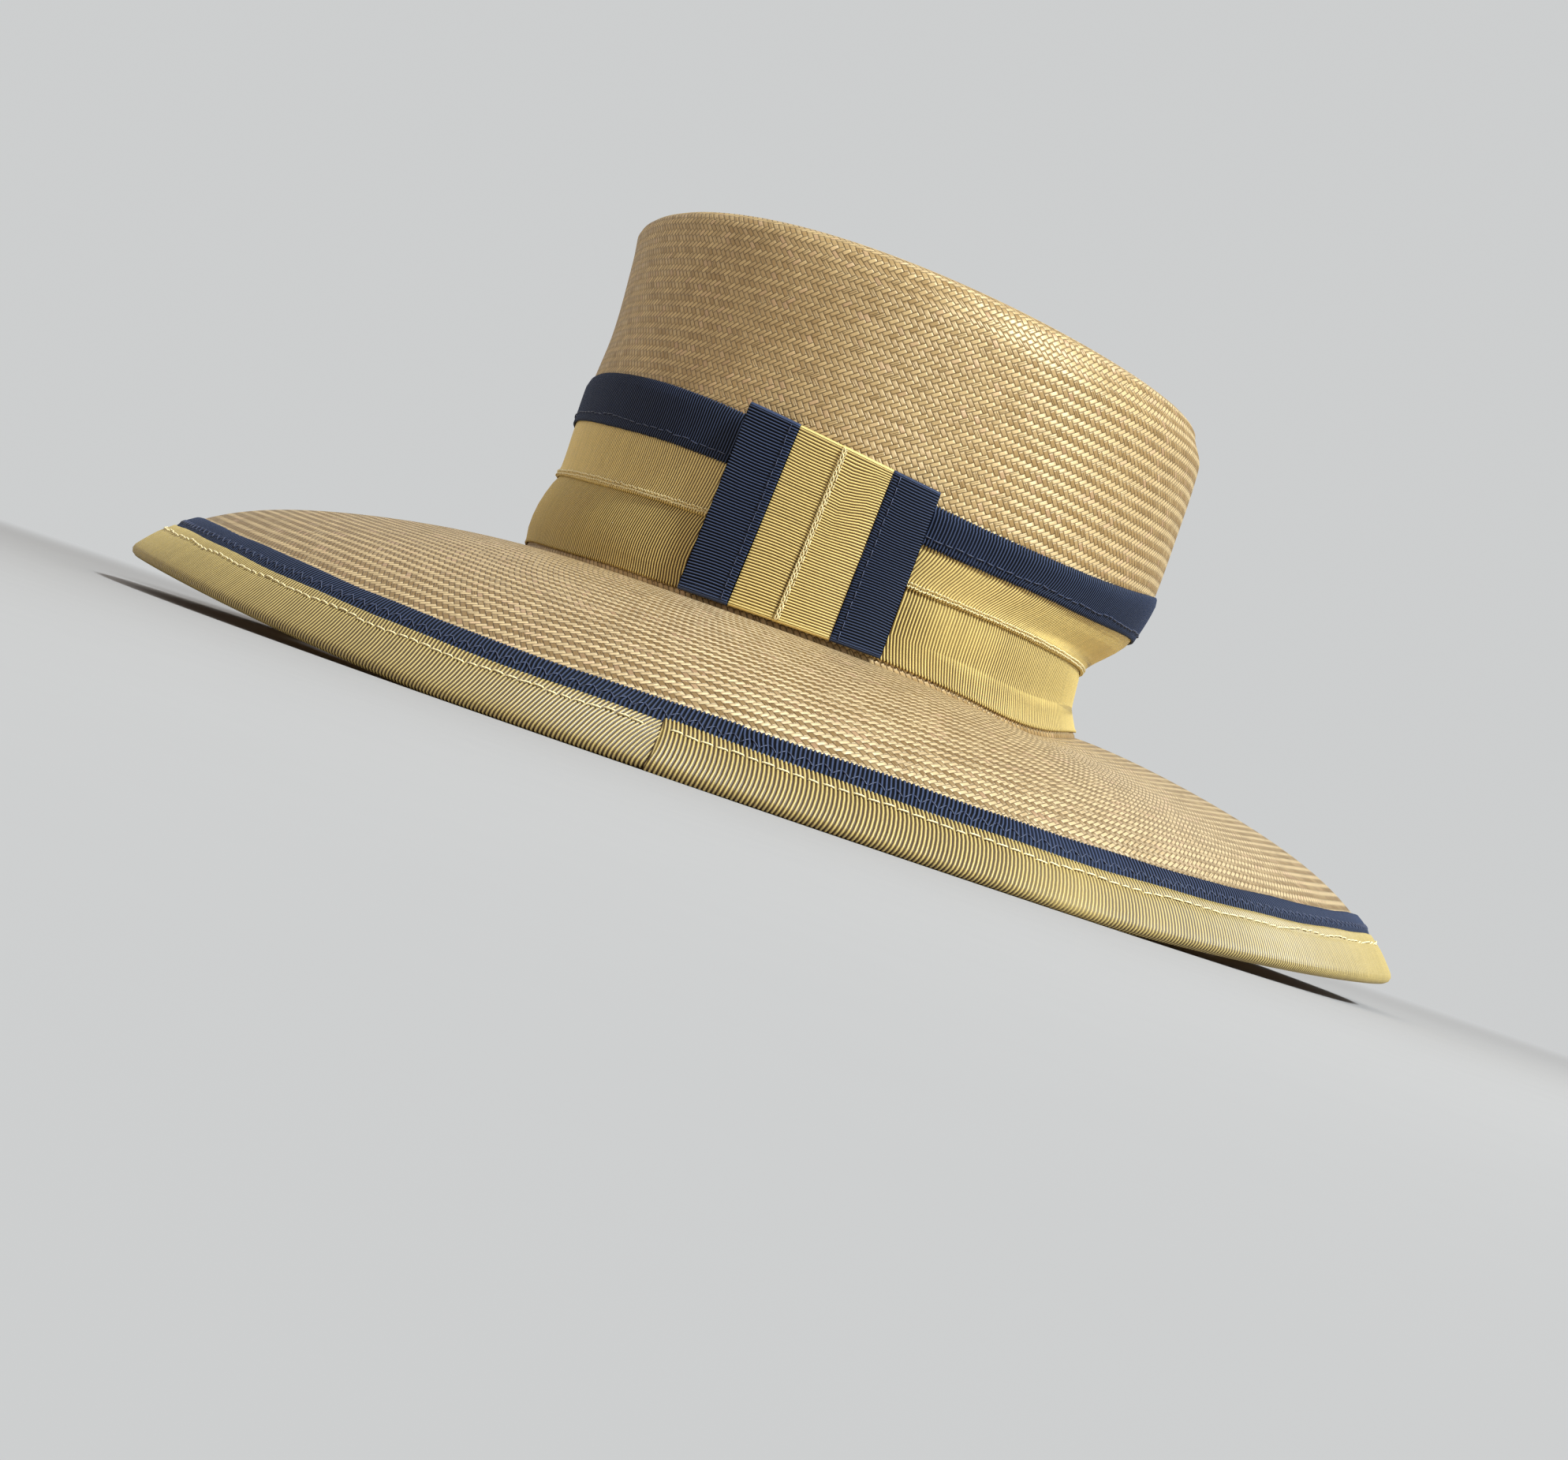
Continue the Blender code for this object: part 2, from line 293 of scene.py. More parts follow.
def brim_at(angle, inset, stand):
    """A point stand mm off the brim's middle face, inset mm in from its edge."""
    p, out, n = brim_frame(angle, 1 - brim_walk.at(angle, inset))
    return p + n * np.asarray(stand)[..., None]


def ring_walk(path, seam, pitch, per=1):
    """Angles round a ring at equal steps along it, from seam, and their count."""
    fine = seam + np.linspace(0, TAU, 4001)
    p = path(fine)
    walked = np.concatenate(
        ((0,), np.cumsum(np.linalg.norm(np.diff(p, axis=0), axis=1)))
    )
    count = round(walked[-1] / pitch)
    steps = np.arange(count * per + 1) / (count * per) * walked[-1]
    return np.interp(steps, walked, fine), count, walked[-1]


def waves(x, seeds, lengths, heights):
    """Slow unevenness along x."""
    total = 0.0
    for seed, length, height in zip(seeds, lengths, heights):
        total = total + height * np.sin(TAU * x / length + seed)
    return total


# ------------------------------------------------------------ meshes
made = []


def grid_quads(rows, cols, wrap_cols, wrap_rows=False, start=0):
    r = rows if wrap_rows else rows - 1
    c = cols if wrap_cols else cols - 1
    i, j = np.meshgrid(np.arange(r), np.arange(c), indexing="ij")
    i2, j2 = (i + 1) % rows, (j + 1) % cols
    quads = np.stack((i * cols + j, i * cols + j2, i2 * cols + j2, i2 * cols + j), -1)
    return quads.reshape(-1, 4) + start


def grid_coords(u, v):
    """Corner coordinates of a grid's faces, from the values at its grid points."""
    parts = [
        np.stack((w[:-1, :-1], w[:-1, 1:], w[1:, 1:], w[1:, :-1]), -1) for w in (u, v)
    ]
    return np.stack(parts, -1).reshape(-1, 4, 2)


def mesh_object(
    name,
    points,
    quads,
    coords,
    materials,
    tris=None,
    slots=None,
    vectors=None,
    values=None,
    node=None,
    slot=None,
):
    """A mesh from arrays of points in mm, faces and their corner coordinates."""
    points = points.reshape(-1, 3)
    tris = np.zeros((0, 3), int) if tris is None else np.asarray(tris)
    a, b, c, d = (points[quads[:, k]] for k in range(4))
    volume = (np.cross(a, b) * c).sum() + (np.cross(a, c) * d).sum()
    if len(tris):
        a, b, c = (points[tris[:, k]] for k in range(3))
        volume += (np.cross(a, b) * c).sum()
    if volume < 0:
        quads, tris, coords = quads[:, ::-1], tris[:, ::-1], coords[:, ::-1]
    loops = np.concatenate((quads.ravel(), tris.ravel()))
    uv = np.concatenate((coords.reshape(-1, 2), np.zeros((tris.size, 2))))
    mesh = bpy.data.meshes.new(name)
    mesh.vertices.add(len(points))
    mesh.vertices.foreach_set("co", (points * MM).astype(np.float32).ravel())
    mesh.loops.add(len(loops))
    mesh.loops.foreach_set("vertex_index", loops.astype(np.int32))
    faces = len(quads) + len(tris)
    mesh.polygons.add(faces)
    starts = np.concatenate(
        (np.arange(len(quads)) * 4, len(quads) * 4 + np.arange(len(tris)) * 3)
    )
    mesh.polygons.foreach_set("loop_start", starts.astype(np.int32))
    mesh.update(calc_edges=True)
    layer = mesh.uv_layers.new(name="weave")
    layer.data.foreach_set("uv", uv.astype(np.float32).ravel())
    if vectors is not None:
        made_of = mesh.attributes.new("along", "FLOAT_VECTOR", "POINT")
        made_of.data.foreach_set("vector", vectors.astype(np.float32).ravel())
    if values is not None:
        kept = mesh.attributes.new("added", "FLOAT", "FACE")
        full = np.concatenate((values, np.zeros(len(tris))))
        kept.data.foreach_set("value", full.astype(np.float32))
    mesh.polygons.foreach_set("use_smooth", np.ones(faces, bool))
    for look in materials:
        mesh.materials.append(look)
    if slots is not None:
        full = np.concatenate((slots, np.full(len(tris), slots[-1])))
        mesh.polygons.foreach_set("material_index", full.astype(np.int32))
    mesh.update()
    piece = bpy.data.objects.new(name, mesh)
    bpy.context.scene.collection.objects.link(piece)
    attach(piece, "root")
    if node:
        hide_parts(node)
    made.append(piece)
    return piece


def tubes(name, paths, radius, look, sides=5, slot=None):
    """Small closed threads: paths is (threads, points, 3) in mm."""
    paths = np.asarray(paths, float)
    many, n, _ = paths.shape
    step = np.gradient(paths, axis=1)
    along = unit(step)
    other = np.cross(along, np.array((0.31, 0.23, 0.92)))
    other = unit(other)
    third = np.cross(along, other)
    turn = np.arange(sides) / sides * TAU
    taper = np.ones(n)
    taper[0] = taper[-1] = 0.55
    ring = (
        other[:, :, None] * np.cos(turn)[:, None]
        + third[:, :, None] * np.sin(turn)[:, None]
    )
    body = paths[:, :, None] + ring * (radius * taper)[None, :, None, None]
    ends = np.stack((paths[:, 0] - along[:, 0] * radius * 0.4,
                     paths[:, -1] + along[:, -1] * radius * 0.4), 1)
    per = n * sides + 2
    points = np.concatenate((body.reshape(many, -1, 3), ends), 1)
    quads = grid_quads(n, sides, True)
    j = np.arange(sides)
    k = (j + 1) % sides
    tris = np.concatenate(
        (
            np.stack((k, j, np.full(sides, n * sides)), 1),
            np.stack(
                ((n - 1) * sides + j, (n - 1) * sides + k, np.full(sides, n * sides + 1)),
                1,
            ),
        )
    )
    shift = (np.arange(many) * per)[:, None, None]
    quads = (quads[None] + shift).reshape(-1, 4)
    tris = (tris[None] + shift).reshape(-1, 3)
    u = np.repeat(np.arange(n)[:, None], sides + 1, 1).astype(float)
    v = np.repeat((np.arange(sides + 1) / sides)[None], n, 0)
    coords = np.tile(grid_coords(u, v), (many, 1, 1))
    return mesh_object(name, points, quads, coords, [look], tris=tris, slot=slot)


# ------------------------------------------------------------ materials
class Field:
    """A value in a node tree, with arithmetic."""

    tree = None

    def __init__(self, socket):
        self.socket = socket

    @classmethod
    def node(cls, kind, **settings):
        made_node = cls.tree.nodes.new(kind)
        for key, value in settings.items():
            setattr(made_node, key, value)
        return made_node

    @classmethod
    def link(cls, value, socket):
        if isinstance(value, Field):
            cls.tree.links.new(value.socket, socket)
        else:
            socket.default_value = value

    @classmethod
    def math(cls, operation, *values, clamp=False):
        made_node = cls.node("ShaderNodeMath", operation=operation, use_clamp=clamp)
        for value, socket in zip(values, made_node.inputs):
            cls.link(value, socket)
        return Field(made_node.outputs[0])

    def __add__(self, other):
        return Field.math("ADD", self, other)

    __radd__ = __add__

    def __sub__(self, other):
        return Field.math("SUBTRACT", self, other)

    def __rsub__(self, other):
        return Field.math("SUBTRACT", other, self)

    def __mul__(self, other):
        return Field.math("MULTIPLY", self, other)

    __rmul__ = __mul__

    def __truediv__(self, other):
        return Field.math("DIVIDE", self, other)

    def __pow__(self, other):
        return Field.math("POWER", self, other)

    def floor(self):
        return Field.math("FLOOR", self)

    def abs(self):
        return Field.math("ABSOLUTE", self)

    def above(self, other):
        return Field.math("GREATER_THAN", self, other)


def blend(share, low, high):
    return low + (high - low) * share


def smooth(value, low, high, to_low=0.0, to_high=1.0):
    node = Field.node("ShaderNodeMapRange", interpolation_type="SMOOTHSTEP")
    for key, item in (
        ("Value", value),
        ("From Min", low),
        ("From Max", high),
        ("To Min", to_low),
        ("To Max", to_high),
    ):
        Field.link(item, node.inputs[key])
    return Field(node.outputs["Result"])


def vector(x, y, z):
    node = Field.node("ShaderNodeCombineXYZ")
    for value, socket in zip((x, y, z), node.inputs):
        Field.link(value, socket)
    return Field(node.outputs[0])


def vector_math(operation, *values, scale=None):
    node = Field.node("ShaderNodeVectorMath", operation=operation)
    for value, socket in zip(values, node.inputs):
        Field.link(value, socket)
    if scale is not None:
        Field.link(scale, node.inputs["Scale"])
    return Field(node.outputs[0])


def chance(where):
    """A random value, the same all over a cell."""
    node = Field.node("ShaderNodeTexWhiteNoise", noise_dimensions="3D")
    Field.link(where, node.inputs["Vector"])
    return Field(node.outputs["Value"])


def noise(where, scale, detail=2.0, rough=0.5):
    node = Field.node("ShaderNodeTexNoise", noise_dimensions="3D")
    Field.link(where, node.inputs["Vector"])
    node.inputs["Scale"].default_value = scale
    node.inputs["Detail"].default_value = detail
    node.inputs["Roughness"].default_value = rough
    return Field(node.outputs[0])


def mixed(share, low, high):
    """Two colours mixed."""
    node = Field.node("ShaderNodeMix", data_type="RGBA")
    Field.link(share, node.inputs["Factor"])
    Field.link(low, node.inputs[6])
    Field.link(high, node.inputs[7])
    return Field(node.outputs[2])


def scaled(colour, share):
    """A colour made lighter or darker."""
    return vector_math("SCALE", colour, scale=share)


def start_material(name, preview):
    look = bpy.data.materials.new(name)
    look.use_nodes = True
    look.diffuse_color = (*preview, 1)
    Field.tree = look.node_tree
    return look, look.node_tree.nodes["Principled BSDF"]


def straw_look(
    name,
    light,
    dark,
    light_is_b,
    contrast=1.0,
    # painted shade colour for the gaps between strands
    gap=(0.10, 0.045, 0.014),
    rough=0.46,
    index=1.8,
    lean=0.75,
    relief=0.48,
    lit_side_contrast=None,
):
    """Straw woven in a two over two twill: strands on the bias, rows round the hat."""
    look, shader = start_material(name, light)
    uv = Field.node("ShaderNodeUVMap", uv_map="weave")
    split = Field.node("ShaderNodeSeparateXYZ")
    Field.link(Field(uv.outputs[0]), split.inputs[0])
    around, across_rows = Field(split.outputs[0]), Field(split.outputs[1])
    coord = Field.node("ShaderNodeTexCoord")
    place = Field(coord.outputs["Object"])
    # The strands aren't ruled lines.
    drift = noise(place, 55.0, 1.0) - 0.5
    i = across_rows + around + drift * 0.25
    j = across_rows - around + drift * 0.25
    fi, fj = i.floor(), j.floor()
    a, b = i - fi, j - fj
    beat = Field.math("FLOORED_MODULO", fi + fj, 4.0)
    is_b = beat.above(1.5)
    along = (beat - is_b * 2.0 + blend(is_b, b, a)) * 0.5
    across = blend(is_b, a, b)
    added_node = Field.node("ShaderNodeAttribute", attribute_name="added")
    added = Field(added_node.outputs["Fac"])
    strand = blend(is_b, fi - added, fj + added)
    float_at = blend(is_b, fj + added, fi - added) - (beat - is_b * 2.0)
    tint = chance(vector(strand, is_b * 7.0 + 2.5, 1.5))
    tint2 = chance(vector(strand, float_at, is_b * 3.0 + 0.5))
    tint3 = chance(vector(float_at, strand, is_b * 5.0 + 9.5))

    side = (across * 2.0 - 1.0).abs()
    end = (along * 2.0 - 1.0).abs()
    # Some floats are split lengthwise.
    splits = tint3.above(0.86)
    cleft = splits * smooth((across - blend(tint2, 0.35, 0.65)).abs(), 0.0, 0.09, 1.0, 0.0)
    width = blend(tint, 0.93, 1.0)
    edge = smooth(side, width * 0.76, width * 0.98, 0.0, 1.0)
    dive = smooth(end, 0.72, 1.0, 0.0, 1.0)
    dome = (1.0 - side**5.0 * 0.42) * (1.0 - end**5.0 * 0.5)
    streak_at = vector(along * 1.6 + float_at * 3.1, across * 7.0, strand * 1.37)
    streak = noise(streak_at, 1.0, 2.0, 0.6) - 0.5
    # Each flat float lies at its own small tilt.
    tilt = (tint2 - 0.5) * (across - 0.5) * 0.7 + (tint3 - 0.5) * (along - 0.5) * 0.5
    height = dome * (1.0 - edge * 0.6) - cleft * 0.35 + streak * 0.10 + tilt

    # One family of strands is paler: partly the straw's own tone, partly painted highlight for the gloss
    # that family catches. contrast sets how far the two differ.
    pale_and_glinting_family = is_b if light_is_b else 1.0 - is_b
    patch = noise(place, 9.0, 2.0) - 0.5
    if lit_side_contrast is not None:
        # Painted highlight: towards +x, the side the key lamp lights, the two families of strands differ
        # more, standing in for the gloss that one family catches there.
        where = Field.node("ShaderNodeSeparateXYZ")
        Field.link(place, where.inputs[0])
        contrast = smooth(Field(where.outputs[0]), 0.0, 0.065, contrast, lit_side_contrast)
    base = mixed(
        Field.math(
            "ADD",
            pale_and_glinting_family * contrast,
            (tint - 0.5) * 0.36 + (tint2 - 0.5) * 0.50 + patch * 0.6 + (contrast * -0.5 + 0.5),
            clamp=True,
        ),
        (*dark, 1),
        (*light, 1),
    )
    # A few floats are yellower or pinker than the rest.
    warm = smooth(tint3, 0.0, 0.10, 1.0, 0.0)
    base = mixed(warm * 0.35, base, (0.62, 0.36, 0.22, 1))
    # Fibre streaks, and painted shade where each float dives under the strand that crosses it.
    shade = (1.0 + streak * 0.42) * (1.0 - dive * 0.38)
    base = scaled(base, shade)
    # Painted shade in the gaps between strands and in the splits of split floats.
    hollow = Field.math("MAXIMUM", edge * blend(tint2, 0.55, 0.95), cleft * 0.55)
    base = mixed(hollow * 0.80, base, (*gap, 1))
    Field.link(base, shader.inputs["Base Color"])

    bump = Field.node("ShaderNodeBump")
    bump.inputs["Strength"].default_value = 1.0
    bump.inputs["Distance"].default_value = relief * MM
    Field.link(height, bump.inputs["Height"])
    normal = Field(bump.outputs[0])
    Field.link(normal, shader.inputs["Normal"])

    # The gloss spreads across each strand's fibres.
    ring = Field.node("ShaderNodeAttribute", attribute_name="along")
    ring = vector_math("NORMALIZE", Field(ring.outputs["Vector"]))
    face = Field(Field.node("ShaderNodeNewGeometry").outputs["Normal"])
    rise = vector_math("CROSS_PRODUCT", face, ring)
    line = vector_math(
        "ADD",
        vector_math("SCALE", ring, scale=blend(is_b, -0.84, 1.26)),
        vector_math("SCALE", rise, scale=0.86),
    )
    Field.link(vector_math("CROSS_PRODUCT", face, line), shader.inputs["Tangent"])
    shader.inputs["Anisotropic"].default_value = lean
    shader.inputs["IOR"].default_value = index
    shader.inputs["Specular IOR Level"].default_value = 1.0
    shader.inputs["Specular Tint"].default_value = (1.0, 0.80, 0.52, 1)
    Field.link(
        blend(hollow, rough + streak * 0.12, 0.8), shader.inputs["Roughness"]
    )
    return look


def ribbon_look(
    name, ridge, valley, fade, rough=0.42, gloss=0.5, sheen=0.04, beads=0.6,
    foot=0.22, crest=0.85,
):
    """Ribbed ribbon: round ribs, with fine threads across them."""
    look, shader = start_material(name, ridge)
    uv = Field.node("ShaderNodeUVMap", uv_map="weave")
    split = Field.node("ShaderNodeSeparateXYZ")
    Field.link(Field(uv.outputs[0]), split.inputs[0])
    rib, length = Field(split.outputs[0]), Field(split.outputs[1])
    coord = Field.node("ShaderNodeTexCoord")
    place = Field(coord.outputs["Object"])
    wave = Field.math("COSINE", rib * TAU)
    round_rib = 0.5 - wave * 0.5
    which = (rib + 0.5).floor()
    thread = Field.math("SINE", length * (TAU / 0.42) + round_rib * 2.0)
    worn = noise(place, 14.0, 3.0) - 0.5
    fine = noise(place, 900.0, 2.0, 0.6) - 0.5
    own = chance(vector(which, 3.5, 0.5)) - 0.5
    # Painted shade: the colour darkens from each rib's crest into its valley, over the ribs' own relief.
    share = smooth(round_rib, foot, crest)
    base = mixed(share, (*valley, 1), (*ridge, 1))
    base = mixed(
        smooth(worn, 0.05, 0.30) * 0.5, base, (*fade, 1)
    )
    base = scaled(base, 1.0 + own * 0.12 + fine * 0.35 + worn * 0.25 + thread * 0.07 * beads)
    Field.link(base, shader.inputs["Base Color"])
    height = round_rib**0.7 * 1.0 + thread * 0.10 * beads + fine * 0.22
    bump = Field.node("ShaderNodeBump")
    bump.inputs["Strength"].default_value = 0.8
    bump.inputs["Distance"].default_value = 0.16 * MM
    Field.link(height, bump.inputs["Height"])
    Field.link(Field(bump.outputs[0]), shader.inputs["Normal"])
    Field.link(rough + fine * 0.25 + (1.0 - share) * 0.2, shader.inputs["Roughness"])
    shader.inputs["Specular IOR Level"].default_value = gloss
    shader.inputs["Sheen Weight"].default_value = sheen
    shader.inputs["Sheen Roughness"].default_value = 0.45
    shader.inputs["Sheen Tint"].default_value = (*ridge, 1)
    return look


def thread_look(name, colour, rough=0.5, gloss=0.5):
    """Twisted sewing thread."""
    look, shader = start_material(name, colour)
    coord = Field.node("ShaderNodeTexCoord")
    place = Field(coord.outputs["Object"])
    uv = Field.node("ShaderNodeUVMap", uv_map="weave")
    split = Field.node("ShaderNodeSeparateXYZ")
    Field.link(Field(uv.outputs[0]), split.inputs[0])
    twist = Field.math(
        "SINE", (Field(split.outputs[0]) * 1.5 + Field(split.outputs[1]) * 2.0) * TAU
    )
    fine = noise(place, 700.0, 2.0) - 0.5
    base = scaled(vector(*colour), 1.0 + fine * 0.5 + twist * 0.16)
    Field.link(base, shader.inputs["Base Color"])
    bump = Field.node("ShaderNodeBump")
    bump.inputs["Strength"].default_value = 0.7
    bump.inputs["Distance"].default_value = 0.05 * MM
    Field.link(twist * 0.5 + fine, bump.inputs["Height"])
    Field.link(Field(bump.outputs[0]), shader.inputs["Normal"])
    shader.inputs["Roughness"].default_value = rough
    shader.inputs["Specular IOR Level"].default_value = gloss
    return look


crown_straw = straw_look(
    "straw_crown_outside",
    (0.65, 0.45, 0.205),
    (0.33, 0.195, 0.068),
    True,
    contrast=0.30,
    # painted highlight: the two families of strands differ more on the lit +x side
    lit_side_contrast=0.95,
    rough=0.49,
    index=1.7,
)
# The brim's two families of strands differ fully: partly the straw's own tone, partly painted highlight.
brim_straw = straw_look(
    "straw_brim_outside", (0.63, 0.445, 0.225), (0.21, 0.118, 0.040), True, contrast=1.0
)
# Painted shade: a darker, more orange copy of the straw, for the hat's inside.
inner_straw = straw_look(
    "straw_inside",
    (0.48, 0.295, 0.115),
    (0.37, 0.215, 0.078),
    True,
    contrast=0.5,
    rough=0.5,
    index=1.4,
    relief=0.2,
)
yellow = ribbon_look(
    "ribbon_yellow",
    (0.82, 0.61, 0.21),
    (0.11, 0.050, 0.007),
    (0.76, 0.54, 0.175),
    rough=0.38,
    gloss=0.5,
    foot=0.13,
    crest=0.72,
)
# Painted shade: a darker copy of the same yellow ribbon, for the lower band.
low_yellow = ribbon_look(
    "ribbon_yellow_low_band",
    (0.73, 0.53, 0.17),
    (0.07, 0.030, 0.003),
    (0.67, 0.47, 0.145),
    rough=0.44,
    gloss=0.35,
    foot=0.25,
    crest=0.90,
)
# Painted shade: a darker copy of the same yellow ribbon, for the binding.
edge_yellow = ribbon_look(
    "ribbon_yellow_binding",
    (0.56, 0.41, 0.135),
    (0.07, 0.034, 0.005),
    (0.50, 0.355, 0.11),
    rough=0.34,
    gloss=0.5,
    foot=0.26,
    crest=0.95,
)
navy = ribbon_look(
    "ribbon_navy",
    (0.047, 0.062, 0.114),
    (0.0010, 0.0014, 0.003),
    (0.031, 0.042, 0.080),
    rough=0.46,
    gloss=0.12,
    sheen=0.0,
    foot=0.38,
    crest=0.98,
)
# Painted light: a lighter, bluer copy of the same navy ribbon, for the bow's left strip.
panel_navy = ribbon_look(
    "ribbon_navy_panel_left",
    (0.066, 0.088, 0.160),
    (0.0010, 0.0014, 0.003),
    (0.044, 0.060, 0.112),
    rough=0.46,
    gloss=0.12,
    sheen=0.0,
    foot=0.38,
    crest=0.98,
)
yellow_thread = thread_look("thread_yellow", (0.90, 0.75, 0.41))
navy_thread = thread_look("thread_navy", (0.045, 0.055, 0.10), 0.42, 0.6)


# ------------------------------------------------------------ straw
def counted(shares, start, counts, sign):
    """Cells round each row: strands are added, or dropped, one by one at spread places.

    Returns the lattice coordinate at each share for each row, and the whole
    number of strands added by then.
    """
    most = int(np.max(np.abs(np.asarray(counts) - start)))
    places = (0.618034 * np.arange(most) + 0.13) % 1.0
    coords, whole = [], []
    for count in counts:
        k = abs(int(count) - start)
        width = 7.0 / max(count, 1)
        x = shares[None] - places[:k, None]
        total = np.zeros(len(shares))
        steps = np.zeros(len(shares))
        for turn in (-1, 0, 1):
            t = np.clip((x + turn) / width + 0.5, 0, 1)
            total = total + (t * t * (3 - 2 * t)).sum(0)
            steps = steps + (t > 0.5).sum(0)
        coords.append(start * shares + sign * (total - k))
        whole.append(sign * (steps - k))
    return np.array(coords), np.array(whole)


def lattice(name, faces, shares, cells, added, heights, materials, **more):
    """A closed wall from two grids of points, with the weave's coordinates on both."""
    top, under = faces
    rows, cols = top.shape[:2]
    flip = under[::-1]
    points = np.concatenate((top, flip))
    quads = grid_quads(2 * rows, cols, True, wrap_rows=True)
    strip = np.arange(rows - 1)
    strips = np.concatenate((strip, (rows - 2,), strip[::-1], (0,)))
    high = np.concatenate((heights, heights[::-1]))
    us, vs = [], []
    for r in range(2 * rows):
        v0, v1 = high[r], high[(r + 1) % (2 * rows)]
        u = cells[strips[r]]
        us.append(np.stack((u + SKEW * v0, u + SKEW * v1)))
        vs.append(np.stack((np.full_like(u, v0), np.full_like(u, v1))))
    coords = np.concatenate([grid_coords(u, v) for u, v in zip(us, vs)])
    near = (added[:, :-1] + added[:, 1:]) / 2
    values = np.concatenate([np.round(near[strips[r]]) for r in range(2 * rows)])
    around = np.roll(points, -1, axis=1) - np.roll(points, 1, axis=1)
    slots = np.zeros((2 * rows, cols), int)
    slots[rows - 1:] = 1
    return mesh_object(
        name,
        points,
        quads,
        coords,
        materials,
        slots=slots.ravel(),
        vectors=unit(around),
        values=values,
        **more,
    )


BACK = math.radians(90.0)


def make_crown():
    cols = 300
    theta, _, length = ring_walk(
        lambda a: crown_point(5.0, a), BACK, 1.0
    )
    shares = np.linspace(0, 1, cols + 1)
    angle = np.interp(shares, np.linspace(0, 1, len(theta)), theta)
    start = round(length / CROWN_PITCH)
    wall = round(float(crown_walk.length.mean()) / HALF_ROW)
    cap = round(float(tip_walk.length.mean()) / HALF_ROW)
    at = angle[:-1]
    top, under = [], []
    for r in range(wall + 1):
        level = crown_walk.at_share(at, r / wall)
        top.append(crown_face(level, at, np.zeros(cols)))
        under.append(crown_face(level, at, np.full(cols, -STRAW)))
    sizes = []
    for r in range(1, cap + 1):
        q = tip_walk.at_share(at, r / cap)
        top.append(tip_curve(at, q))
        under.append(tip_curve(at, q, -STRAW))
        ring = np.diff(tip_curve(angle, tip_walk.at_share(angle, (r - 0.5) / cap)), axis=0)
        sizes.append(np.linalg.norm(ring, axis=1).sum())
    top, under = np.array(top), np.array(under)
    # The foot reaches down into the brim.
    for grid in (top, under):
        grid[0] = grid[0] - np.array((0, 0, 1.2))
    counts = [start] * wall + [
        min(start, max(12, round(s / CROWN_PITCH))) for s in sizes
    ]
    cells, added = counted(shares, start, counts, -1)
    heights = np.arange(wall + cap + 1, dtype=float)
    piece = lattice(
        "crown_straw",
        (top, under),
        shares,
        cells,
        added,
        heights,
        [crown_straw, inner_straw],
        node="crown",
        slot="straw",
    )
    # The middle of the tip is closed by a small round of straw.
    disc_cols = 24
    turn = np.linspace(0, TAU, disc_cols, endpoint=False)
    rings = []
    for q, lift in ((1.955, 0.03), (1.975, 0.12), (1.99, 0.15)):
        rings.append(tip_curve(turn, q, lift))
    for q, lift in ((1.99, -STRAW - 0.1), (1.955, -STRAW - 0.03)):
        rings.append(tip_curve(turn, q, lift))
    points = np.array(rings)
    middle_up = tip_curve(0.0, 2.0, 0.15)
    middle_low = tip_curve(0.0, 2.0, -STRAW - 0.1)
    quads = np.concatenate(
        (
            grid_quads(3, disc_cols, True),
            grid_quads(2, disc_cols, True, start=3 * disc_cols),
        )
    )
    j = np.arange(disc_cols)
    side = np.stack(
        (j, (j + 1) % disc_cols, 4 * disc_cols + (j + 1) % disc_cols, 4 * disc_cols + j), 1
    )[:, ::-1]
    quads = np.concatenate((quads, side))
    n = points.size // 3
    k = (j + 1) % disc_cols
    tris = np.concatenate(
        (
            np.stack((2 * disc_cols + j, 2 * disc_cols + k, np.full(disc_cols, n)), 1),
            np.stack((3 * disc_cols + k, 3 * disc_cols + j, np.full(disc_cols, n + 1)), 1),
        )
    )
    points = np.concatenate((points.reshape(-1, 3), middle_up[None], middle_low[None]))
    coords = points[quads][:, :, :2] / np.array((CROWN_PITCH, HALF_ROW))
    disc = mesh_object(
        "crown_straw_middle",
        points,
        quads,
        coords,
        [crown_straw],
        tris=tris,
        vectors=np.tile(np.array((1.0, 0.0, 0.0)), (len(points), 1)),
        values=np.zeros(len(quads)),
        slot="straw",
    )
    return piece, disc


